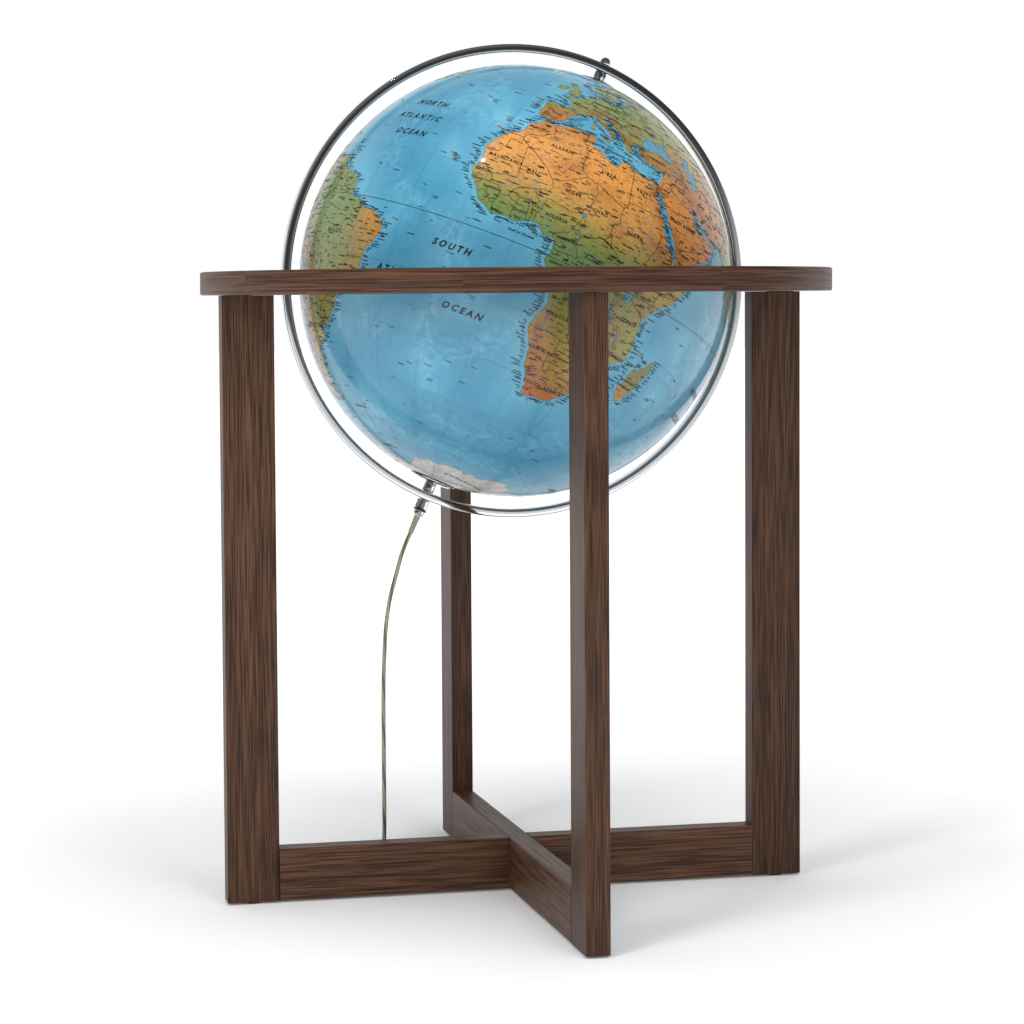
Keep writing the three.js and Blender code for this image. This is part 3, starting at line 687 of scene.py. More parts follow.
AFRICA = pairs("""-5.9,35.8 -5.3,35.8 -3,35.3 -2,35.1 -.7,35.7 1,36.4 3,36.8 5.1,36.8 8,36.9 9.8,37.3 11,37
 10.5,36.4 10.8,35.7 11.1,35.2 10.1,33.9 11.1,33.3 13.2,32.9 15.3,32.3 15.4,31.4 17,30.9 18.8,30.3 19.8,30.6
 20,32 21.5,32.9 23.1,32.6 25.1,31.6 27.3,31.3 29.2,30.9 31,31.6 32.3,31.2 32.5,29.9 32.7,29.2 33.3,28.2
 33.8,27.2 34.5,26 35.5,24.1 35.6,22.9 36.9,22 37.2,19.6 38.5,18 39.5,15.6 41.2,14.6 42.8,13 43.2,12.4
 43.1,11.5 44.5,10.4 47,11.1 49,11.3 51.2,11.8 51.1,10.4 50.6,9 49.8,7.9 48.5,5.3 47.9,4.4 45.4,2 43.5,.5
 42.3,-.6 41,-1.9 39.7,-4 39.1,-5.1 39.4,-6.8 39.5,-8.5 40.5,-10.7 40.5,-12.5 40.8,-14.9 40,-16.2 37,-17.9
 34.9,-19.8 35.5,-22 35.5,-23.9 33,-25.2 32.6,-26 32.8,-28 32,-28.8 31,-29.9 30,-31.2 28,-33 25.7,-34
 23.4,-34.1 22.1,-34.2 20,-34.8 18.8,-34.2 18.3,-34.2 18.3,-32.9 18.3,-31.8 17.3,-29.9 16.5,-28.6 15.2,-26.6
 14.5,-24 14.5,-22.6 13.4,-20.9 12,-18.5 11.8,-16.8 12.2,-15 13.5,-12.4 13.8,-10.7 13.2,-8.8 12.3,-6.1
 11.8,-4.8 10.5,-3.2 9.3,-2 8.8,-.7 9.4,.4 9.6,2.3 9.6,3.9 8.9,4.5 8.3,4.6 7,4.4 6,4.3 5.2,5.4 4.3,6.3
 3.4,6.4 1.2,6.1 -.2,5.5 -2,4.8 -3.3,5.1 -5.8,5 -7.6,4.4 -9.2,5.6 -10.8,6.4 -12.5,7.4 -13.2,8.5 -13.8,9.6
 -15,10.9 -16.5,12.2 -16.7,13.4 -17.4,14.7 -16.5,16 -16.1,18.1 -16.4,19.5 -17,21 -16.9,21.9 -16,23.7
 -14.9,25.5 -14.3,26.3 -13.2,27.4 -12.8,28 -11.1,28.8 -10,29.5 -9.7,30.5 -9.8,31.4 -9.2,32.4 -8.4,33.3
 -6.9,34 -6.2,35""")
EURASIA = pairs("""32.7,31.1 34.2,31.3 34.9,32.8 35.5,33.9 35.9,35.6 36.1,36.6 34.6,36.7 33,36.1 31.5,36.6
 30.6,36.9 29.5,36.2 28,36.8 27.2,37.4 26.3,38.3 26.9,39.2 26.1,39.6 26.6,40.4 28,40.5 29.2,40.5 29,41
 27.5,40.9 26,40.8 24.5,40.9 24,40.1 22.9,40.5 22.8,39.3 24,38.2 24,37.7 23,37.8 23.1,36.5 22.4,36.6
 21.7,36.9 21.2,37.8 20.8,38.8 20,39.7 19.4,40.6 19.5,41.8 18,42.7 16.4,43.5 15.1,44.4 14.4,45.2 13.7,45
 13.6,45.7 12.4,45.4 12.4,44.3 13.6,43.6 14.3,42.4 16,41.9 17,41.1 18.5,40.1 18.3,39.8 17,40.5 16.6,39.7
 17.2,39 16.6,38.4 15.7,38 16.2,38.8 15.6,40.1 14.2,40.8 12.2,41.8 10.8,42.6 10.3,43.6 8.9,44.4 7.5,43.8
 6.2,43.1 4.8,43.4 3.3,43.2 3.2,42.2 2.2,41.4 .7,40.7 -.3,39.4 .2,38.8 -.6,38.1 -.9,37.6 -2.2,36.8 -4.4,36.7
 -5.5,36.1 -6.3,36.6 -7,37.2 -8.9,37 -8.8,38.4 -9.5,38.8 -8.9,40.2 -8.7,41.2 -8.9,42.3 -9.2,43.1 -8,43.7
 -5.7,43.6 -3.8,43.5 -1.7,43.4 -1.2,44.7 -1.1,46 -2.3,47.3 -4.4,47.9 -4.7,48.4 -3,48.8 -1.6,48.6 -1.8,49.7
 -1.1,49.4 .2,49.6 1.6,50.4 1.8,51 3.5,51.4 4.3,52.2 4.8,53 7,53.5 8.6,53.9 8.2,55.5 8.2,56.9 10.5,57.7
 10.3,56.5 10.7,56.1 9.7,55.3 10.1,54.5 11,54 12.6,54.4 14.2,53.9 16.5,54.5 18.6,54.7 19.6,54.4 21.1,55.6
 21.2,57.3 22.6,57.7 23.7,57 24.4,57.4 24.2,58.3 23.5,59.1 24.8,59.5 28,59.6 29.9,60 28.5,60.6 25,60.2
 22.9,59.9 21.3,61 21.4,62.5 23.2,63.9 25.3,65 24.7,65.8 22.2,65.7 21.3,64.6 20.3,63.8 18.2,62.6 17.2,61.5
 17.2,60.7 18.8,60 17.8,58.9 16.6,57.6 16,56.2 14.3,55.5 12.9,55.6 12.2,57 11.2,58.8 10.6,59.5 9.5,58.9
 7.5,58 5.7,58.7 5,60.5 5.2,62 8,63.4 10.5,64.6 12.7,66 14.3,67.3 16,68.6 19,69.9 22.5,70.6 25.8,71.1
 29,70.7 31,70 33,69.4 38,68.2 41,67.1 40,66.2 36,66.3 33,66.8 34.8,64.6 37.2,63.9 38.5,64.8 40.5,64.9
 40,65.8 42.5,66.4 44,66.2 44.2,67.2 43.4,68.5 46,68 47,66.9 49,67.8 53.5,68.6 60.5,69.3 65,69.2 67,68.8
 66.8,71 69,72.8 72.6,72.7 72.6,70.8 73,68.6 71.5,66.4 74,67.5 74.6,69 73.8,71.5 75,72.6 80.5,72.2 81,73.6
 87,75 98,76.2 104.3,77.7 113,76 109,73.8 113.5,73.4 118.5,73 123.5,73.2 126.5,73.6 129,71.2 132.5,71.6
 139.5,72.4 150,71.5 160,69.6 170,69.7 180,68.9 180,65.1 177.5,64.7 179.3,62.6 174,61.8 170,60 166,60.1
 163.5,59.7 163,57.8 162,56.2 162,54.8 159.8,53 156.7,51 155.6,54.5 156.8,57.7 161,60.2 163.6,62.5 160,61.8
 155,59.4 151,59.2 143,59.4 138,56.5 135.3,54.8 137.5,53.9 141,53 140.4,50 138.2,46.5 135.5,44.2 132.5,43
 130.6,42.4 129.7,41 127.5,39.7 128.4,38.4 129.4,37 129.1,35.3 126.5,34.5 126.6,37 125,38 125.2,39.6
 121.6,38.9 122,40.6 119.5,39.6 117.8,39 119,37.4 122.5,37.2 120.3,36 119.3,35 121.5,32.5 121.8,31 121.9,29.2
 119.6,25.9 118,24.4 114.4,22.5 110.5,21.2 110.2,20.4 109.6,21.6 108,21.6 106.6,20.3 105.7,18.8 107.5,16.5
 109,15 109.4,12.8 107,10.4 104.8,8.6 104.8,10.2 103,11 102.3,12.2 100.8,13.5 100,13.3 99.3,10.5 100.2,8.5
 101,6.9 103.3,5 103.9,1.4 101.3,2.9 100.3,5.8 98.4,8 98.6,12 97.6,16.4 95.4,15.8 94.3,16.1 94.3,18.8
 92.2,20.9 91.5,22.5 89,21.8 87,21.4 86.7,20.1 85,19.5 82.3,16.7 80.2,15.7 80.3,13.2 79.8,10.3 78.3,9
 77.5,8.1 76.2,10 74.8,12.9 73.8,15.5 72.8,19 72.7,21.2 70.8,20.7 69,22.3 67.8,23.8 66.6,25 61.6,25.2
 57.3,25.8 56.5,27.1 54.5,26.6 52.5,27.5 50.9,28.9 50.1,30.1 48.2,29.9 48.4,28.5 50.1,26.6 50.7,25 51.2,26
 51.5,25 51.4,24.3 54.2,24.2 56.2,26.1 56.5,24.6 58.6,23.6 59.8,22.5 58.6,20.4 57.7,18.9 55.3,17.4 54,17
 52.2,15.6 48.7,14 45,12.8 43.5,12.7 42.9,14.8 42.7,16.6 41,19 39.1,21.4 38.2,23.8 36.8,26 35.2,28 34.8,29.4
 34.2,27.8 33.2,28.9 32.7,29.9""")
NORTH_AMERICA = pairs("""-156.5,71.3 -150,70.5 -141,69.6 -135,69.3 -128,70.3 -122,69.8 -115,68.2 -108,68
 -102,67.8 -96,68.2 -94.5,71.9 -91.5,69.6 -88,68.6 -86.5,67.3 -82.5,69.6 -81.3,68.5 -83,66.4 -86.5,66
 -87,64.6 -91,63.4 -94.5,61 -94.6,58.8 -92.5,57 -88,56.5 -82.3,55.2 -82,53 -80.4,51.3 -79,52.3 -79.2,54.7
 -76.8,56.2 -78.3,58.8 -77.4,60.5 -78,62.4 -73.7,62.3 -70,61 -69.5,59 -67,58.4 -64.8,60.2 -62,57.6 -60,55.3
 -57.5,54.5 -55.8,52.5 -58.5,51.3 -60,50.2 -66,50.2 -69,48.5 -65,49.2 -65,47.6 -64,46.2 -60.5,46.8 -61,45.4
 -63.5,44.6 -65.8,43.6 -65,45 -67,44.8 -70,43.8 -70.8,42.4 -70,41.7 -72,41.2 -74,40.6 -74.8,39 -76,37
 -75.6,35.3 -78,33.9 -81,32 -81.4,30.3 -80.1,27 -80.3,25.3 -81.4,25.5 -82.7,27.7 -83.7,29.9 -85.3,29.8
 -88,30.4 -89.3,29.2 -91.5,29.5 -94.7,29.4 -97.2,27.8 -97.6,24.5 -97.8,22.3 -96.1,19.2 -94.5,18.2 -91.5,18.6
 -90.4,21 -86.9,21.4 -87.8,18.3 -88.6,16 -86,15.9 -83.3,15 -83.7,11.5 -82.5,9.3 -80,9.4 -77.4,8.6 -77.9,7.2
 -79.5,8.9 -80.4,7.5 -82.9,8.3 -83.8,9.5 -85.7,10.3 -87.6,12.9 -92.2,14.6 -95,16.1 -99.9,16.9 -105.4,20.2
 -105.6,22.4 -109.3,25.9 -112.3,29.4 -114.7,31.7 -113,28.5 -111,25.5 -109.6,23 -112.2,25 -114.2,27.4
 -115.8,30.2 -117.1,32.6 -118.6,34 -120.6,34.6 -122.4,37.6 -124.3,40.4 -124.1,43.5 -124,46.3 -124.6,48.2
 -123,49 -127.5,51.2 -130.3,54.6 -133.5,57.3 -137,58.6 -141,59.9 -146,60.8 -150.5,59.4 -151.5,61 -154.3,58.5
 -158.5,56 -164.5,54.7 -160.5,55.9 -157.3,58.7 -162,58.8 -165.5,61.2 -164.5,63.1 -161,64 -166,64.5
 -167.8,65.6
 -162,66.4 -166.3,68.3 -163,69.6""")
SOUTH_AMERICA = pairs("""-77.4,8.6 -75.5,10.5 -74.8,11.1 -71.9,12.2 -71.5,10.9 -70.2,11.9 -68.3,10.8 -66,10.6
 -62,10.7 -61,9 -58.5,7 -57,6 -55,5.9 -52.3,4.9 -51,3.9 -50,1.7 -50.6,.2 -48.5,-.9 -46,-1.1 -44.2,-2.6
 -41.5,-2.9 -38.5,-3.7 -36.5,-5.1 -35.2,-5.6 -34.8,-8 -36.3,-10.4 -37.3,-11.6 -38.5,-13 -39,-15 -39.2,-17.7
 -40.3,-20.3 -41.9,-22.8 -43.2,-23 -46.3,-24.1 -48.5,-25.8 -48.6,-27.8 -50.2,-30.3 -52.1,-32.2 -53.6,-34
 -56.2,-34.9 -58.3,-34.1 -57.3,-35.5 -56.8,-36.6 -57.6,-38.2 -62,-39 -62.3,-40.7 -65,-41 -63.7,-42.5
 -65.3,-43.7 -65.6,-45 -67.5,-46.1 -65.8,-47.8 -67.7,-50 -69,-51.7 -68.4,-52.6 -67,-54.2 -65.2,-54.7
 -67.5,-55.7 -71.5,-54 -75,-52 -74.5,-49 -74.9,-46.9 -73,-44.3 -73.9,-41.9 -73.3,-39.2 -73.6,-37.2 -71.6,-33
 -71.4,-30 -70.5,-25.5 -70.2,-20 -70.4,-18.3 -72,-17.1 -76.3,-13.9 -77.2,-12 -78.9,-8.3 -81.1,-6 -81.2,-4.4
 -80,-2.9 -81,-2.2 -80.2,-.6 -79,1.5 -77.4,3.8 -77.5,5.8 -77.9,7.2""")
GREENLAND = pairs("""-73,78.2 -66,76 -58.5,75.6 -54.8,72.5 -53,69 -53.5,66.8 -51.5,64 -48.2,60.9 -43.5,59.9
 -42.3,62.5 -40,65 -32.5,68 -24,70 -22,72.5 -19.5,75.2 -18.5,77.5 -19,80 -12,81.5 -30,83.5 -45,82.4 -60,82
 -67,80.3""")
ANTARCTICA = pairs("""-180,-78.5 -165,-78.3 -158,-77 -150,-76.8 -135,-74.5 -115,-74 -102,-73 -90,-72.8
 -80,-73.3 -68,-72 -67,-68 -62,-64.8 -57.5,-63.4 -60.5,-66.5 -62.5,-70 -61,-74.5 -50,-78 -36,-78.5 -27,-76
 -17,-72.5 -5,-70.8 10,-70 20,-70 30,-69.3 40,-69 48,-67 56,-66.2 65,-67.7 70,-69.6 73,-69.7 80,-68 90,-66.6
 105,-66 120,-66.7 135,-66 145,-67 155,-69 163,-70.5 170,-71.5 167,-74 164,-77.5 170,-78.3 180,-78.5
 180,-87.6 -180,-87.6""")
AUSTRALIA = pairs("""114.1,-21.8 113.5,-24.5 114.2,-27.5 115.7,-32 115,-34.3 118,-35 121,-33.9 123.5,-33.9
 126,-32.3 131,-31.5 134.2,-32.8 135.9,-34.8 137.8,-32.8 137.6,-35 138.5,-35.6 140,-37.2 143.5,-38.8
 145,-38.2 146.4,-39 150,-37.4 151.3,-33.8 153,-31 153.5,-28 153,-25.2 150.8,-23.2 148,-20 146.3,-19
 145.5,-15 143.6,-14 142.5,-10.8 141.6,-13 140.8,-17.5 139.2,-17.4 135.5,-15 136.9,-12.2 132.6,-11.4
 130.8,-12.4 129.5,-14.9 126.8,-13.9 124,-16.3 122.2,-18 119,-20 116.7,-20.7""")
MADAGASCAR = pairs("""49.3,-12 50.1,-13.6 50.5,-15.4 49.7,-16.1 49.5,-17.8 48.9,-20 47.9,-22.5 47.1,-24.9
 45.2,-25.6 43.8,-23.6 43.3,-22.2 44.4,-20 44,-18 44.5,-16.2 46.3,-15.7 47.5,-14.7 48.2,-13.6""")
ISLANDS = [pairs(text) for text in (
    "-5.7,50.1 -3.5,50.3 -1,50.8 1.4,51.2 .8,51.6 1.7,52.7 .3,53 -.2,54.1 -1.5,55 -2.1,56 -3.2,56.1 -2,57.5"
    " -4,57.6 -3.1,58.6 -5,58.6 -5.8,57.5 -5.6,56.2 -4.8,55 -3.3,54.9 -3,53.6 -4.5,53.3 -4.3,52.3 -5.2,51.9"
    " -3,51.4 -4.3,51.1",
    "-6.1,53.4 -6.4,52.2 -9.8,51.5 -10.2,52.2 -9.2,53.2 -10,54.2 -8.5,54.4 -7.3,55.3 -5.6,54.6",
    "-22.5,63.9 -18.7,63.4 -15,64.3 -13.6,65 -15,66.2 -18,66.1 -20.3,65.6 -22.4,66.4 -24.3,65.5 -22,64.6",
    "12.5,38 15.6,38.2 15.1,36.7 12.6,37.6", "8.4,39 9.5,39.2 9.7,40.8 9.2,41.2 8.2,40.8",
    "8.7,41.6 9.3,41.5 9.4,43 8.6,42.3", "23.6,35.5 26.3,35.3 26.2,35 23.6,35.2",
    "32.3,35 34.5,35.6 33.9,35 33,34.6",
    "-59.3,47.7 -55.8,46.9 -52.8,46.8 -53.5,48.5 -55.8,51.4 -57.3,50.5", "-84.9,21.9 -82.5,23.1 -80,23"
    " -77,21.8 -74.2,20.2 -77.5,19.9 -78.5,21.4 -82,22.5",
    "-74.4,18.4 -73.2,19.9 -70,19.8 -68.4,18.6 -71,18.1",
    "-78.3,18.4 -76.3,18.1 -77.2,17.8", "-67.2,18.4 -65.7,18.3 -67.1,18",
    "-61.5,66.6 -64.5,64.4 -66,62 -71,62.7 -77,64.5 -73,67.5 -79,70 -88,71 -89.5,73.6 -81,73.6 -76,72.3"
    " -70,70.8 -67,69", "-117,71 -114,73 -106,72.8 -102,69.5 -113,68.6",
    "-90,76.8 -80,76.3 -76,78.6 -64,81.8"
    " -70,83.1 -91,81.5 -87,79", "-124,71.5 -122,74.3 -116,73.4 -120,71.5", "-100,73.4 -97,71.7 -93,73.9",
    "-105,76.5 -98,75 -92,74.7 -93,76.6", "11,79.5 18,80.2 26,80 21,78.3 17,76.7",
    "51.5,71.5 55.5,75 68,76.9 60,75 57.5,72 56.5,70.6", "95,79.2 100,80.8 105,78.8",
    "-180,68.9 -175,67.4 -170,66.1 -173,64.4 -180,65.1", "142.2,46.2 142.6,54.3 143.3,52 143,49 143.5,46.3",
    "140.2,42.3 141.5,43.3 141.8,45.4 145.3,43.7 143.3,42 141,41.8",
    "130.9,34 132.8,35.5 136,35.8 137,37.3 139.4,38.3 140,40.5 141.4,41.4 142,39.5 140.9,36 139,34.8"
    " 136.8,34.4 135.6,33.5 133,34.3", "129.8,33.3 131.7,33.6 131.4,31.4 130.3,31.2",
    "132.6,33.7 134.5,34.2 134,33.3 132.8,32.8", "120.1,23 121.2,25.1 121.9,25 120.8,22",
    "108.7,19.2 110.7,20 110.2,18.6 109,18.4",
    "120.3,16 120.8,18.6 122.2,18.4 121.6,15.8 124,12.8 120.8,13.9",
    "122.2,7 123.7,8.5 125.5,9.8 126.5,7.5 125.5,5.8 124,6.6", "117.2,8.5 119.4,11.3 119.5,10.3",
    "109,1.5 111.3,2.5 113.2,3.4 116.8,7 119,5.1 117.8,3.2 118.9,1 117.4,-.5 116.2,-3.7 114.6,-4 111.5,-3"
    " 110,-1.3", "95.3,5.6 97.5,5.2 100.3,2.8 103.5,.2 106,-3 105.8,-5.8 104.3,-5.8 102.2,-3.8 100.3,-.9"
    " 98.7,1.7", "105.3,-6.8 106.8,-6 110.8,-6.4 114.4,-7.7 114.4,-8.6 109,-7.7",
    "119.5,-5.5 119.3,-3.3 119.8,.3 121,1.3 125,1.5 123.3,.4 120.4,.3 121.4,-1.9 123.3,-4.2 122.3,-5"
    " 121,-2.8"
    " 120.4,-5.5", "131,-.8 134,-.8 135,-3.2 138,-1.7 141,-2.6 145.8,-5.4 147.6,-6.3 147,-7 150.8,-10.4"
    " 147.2,-9.5 144.5,-7.8 143,-9.1 138,-8.3 138,-5.6 133.5,-4.1 132.8,-2.8", "124,-9.5 127,-8.4 125,-9.8",
    "148.5,-5.6 152,-4.2 151.5,-5.5", "144.7,-40.7 148.3,-40.9 148,-43 146.5,-43.6 145.3,-42.5",
    "172.8,-34.5 174.9,-36.8 178.4,-37.7 177,-39.5 175.3,-41.6 173.8,-39.3 174.8,-38",
    "172.7,-40.6 174.3,-41.7 172.8,-43.8 170.7,-45.9 168.4,-46.6 166.5,-45.9 168.3,-44 171.3,-42.2",
    "79.9,8 80.2,9.7 81.8,7.3 80.6,6", "53.4,12.5 54.4,12.5 53.9,12.3", "-61,-51.8 -58,-51.4 -59.5,-52.3",
    "164.2,-20.3 167,-22.3 165.5,-21.7", "69,-49 70.2,-49 69.7,-49.7", "-156,20.2 -154.9,19.5 -155.8,19",
    "-37.8,-54.2 -36,-54.6 -36.6,-54.2", "92.8,13.5 93,12 92.6,11.6")]
DOTS = pairs("""-15.6,28.1 -16.6,28.3 -14,28.5 -17.9,28.7 -25.5,37.8 -28.4,38.5 -17,32.8 -23.6,15.1 -25,17
 -24.3,16.6 6.6,.2 7.4,1.6 8.7,3.5 -5.7,-16 -14.4,-7.9 43.3,-11.7 45.2,-12.8 57.6,-20.3 55.5,-21.1 55.5,-4.6
 39.4,-6.1 3,39.6 1.4,38.9 14.4,35.9 28,36.3 24.9,37.2 26.2,39.2 -12.3,-37.1 -32.4,-3.9 -61,14 -61.4,15.4
 -61.6,16.3 -59.5,13.2 -61.2,10.4 -77.5,24.5 -78,26.6 -158,21.5 -159.5,22 -149.5,-17.6 -171.8,-13.7 178,-17.8
 -90.8,-.6 -109.3,-27.1 96.8,-12.2 73,4 72.4,-7.3 145,-15.3 160,-9.3 168,-16 134.5,7.5 144.8,13.5 -7,62
 -1.3,60.3 -6.8,57.8 16.8,57 18.6,57.5 22.5,58.4 77.6,-38.5 -64.7,32.3""")
LAKES = [pairs(text) for text in (
    "29,41.3 28,42 27.8,43 28.6,43.8 29.7,45 31,46.4 33,46.1 32.8,45.4 33.6,44.5 35.4,45 36.4,45.3 35,46.2"
    " 36.5,46.7 39.1,47.1 38,46 37.4,45.1 39,43.9 41.5,42.4 41.4,41.5 38.5,41 36,41.6 35,42 32.5,41.7"
    " 31,41.1",
    "48.5,46 51.5,46.9 53,46 51.3,44.5 50.4,44.4 52.4,42.7 52.8,41.2 53.6,40 53.8,37.2 52,36.7 50,37.4"
    " 48.9,38.4 49.4,40.3 48.4,41.9 47.4,43", "31.8,-1 32,.1 33.5,.3 34.1,-.4 33.6,-1.9 32.9,-2.5 31.8,-2.3",
    "29.2,-3.5 29.6,-5 30.4,-6.7 31,-8.6 30.5,-8.6 29.5,-6.8 29,-4.8", "34,-9.6 34.7,-11.5 35.1,-14.1"
    " 34.6,-14 34.1,-11.8", "13.5,13 14.3,13.8 15,13 14.2,12.5", "58.5,45.8 60.5,46.5 61.3,45 59.7,43.9"
    " 58.4,44.5", "-92,46.8 -90,47.8 -88,48.7 -85,47.9 -84.7,46.7 -87.4,46.6 -90,46.8", "-87.9,42 -87.8,44"
    " -86.5,45.7 -85.3,45.6 -86.4,43.9 -86.3,42.2 -87.2,41.7", "-84.3,45.9 -81.5,46 -80.2,44.8 -81.7,43.4"
    " -82.4,43.1 -83.5,44 -83.4,45.2", "-83.2,41.8 -81,42.6 -79.1,42.8 -80.5,42 -82.5,41.4", "-79.7,43.3"
    " -77,43.9 -76.5,43.6 -79,43.3", "103.9,51.6 106,52.4 108,53.7 109.7,55.7 109,54 107,52.4 105,51.6",
    "-125,66.5 -120,66.8 -118,65.5 -122,65.2", "-116,61.3 -110,62.8 -109.5,62.3 -114,61", "-98,53.8 -97.3,52"
    " -96.6,51 -98,50.8 -99.2,53", "30.2,61 31.5,61.6 32.8,61 32.4,60.2 31,60.1",
    "35,62.5 36.4,61.5 35.4,61",
    "13,59 14,58.9 13.2,58.4", "37.5,12.2 37.6,11.8 37.1,11.9",
    "-70,-15.4 -69.2,-16 -68.9,-16.5 -69.8,-15.9",
    "35.9,4.5 36.3,3.2 36,3", "42.4,38.7 43.5,38.9 42.9,38.4", "44.9,38.2 45.7,37.9 45.5,37.3")]
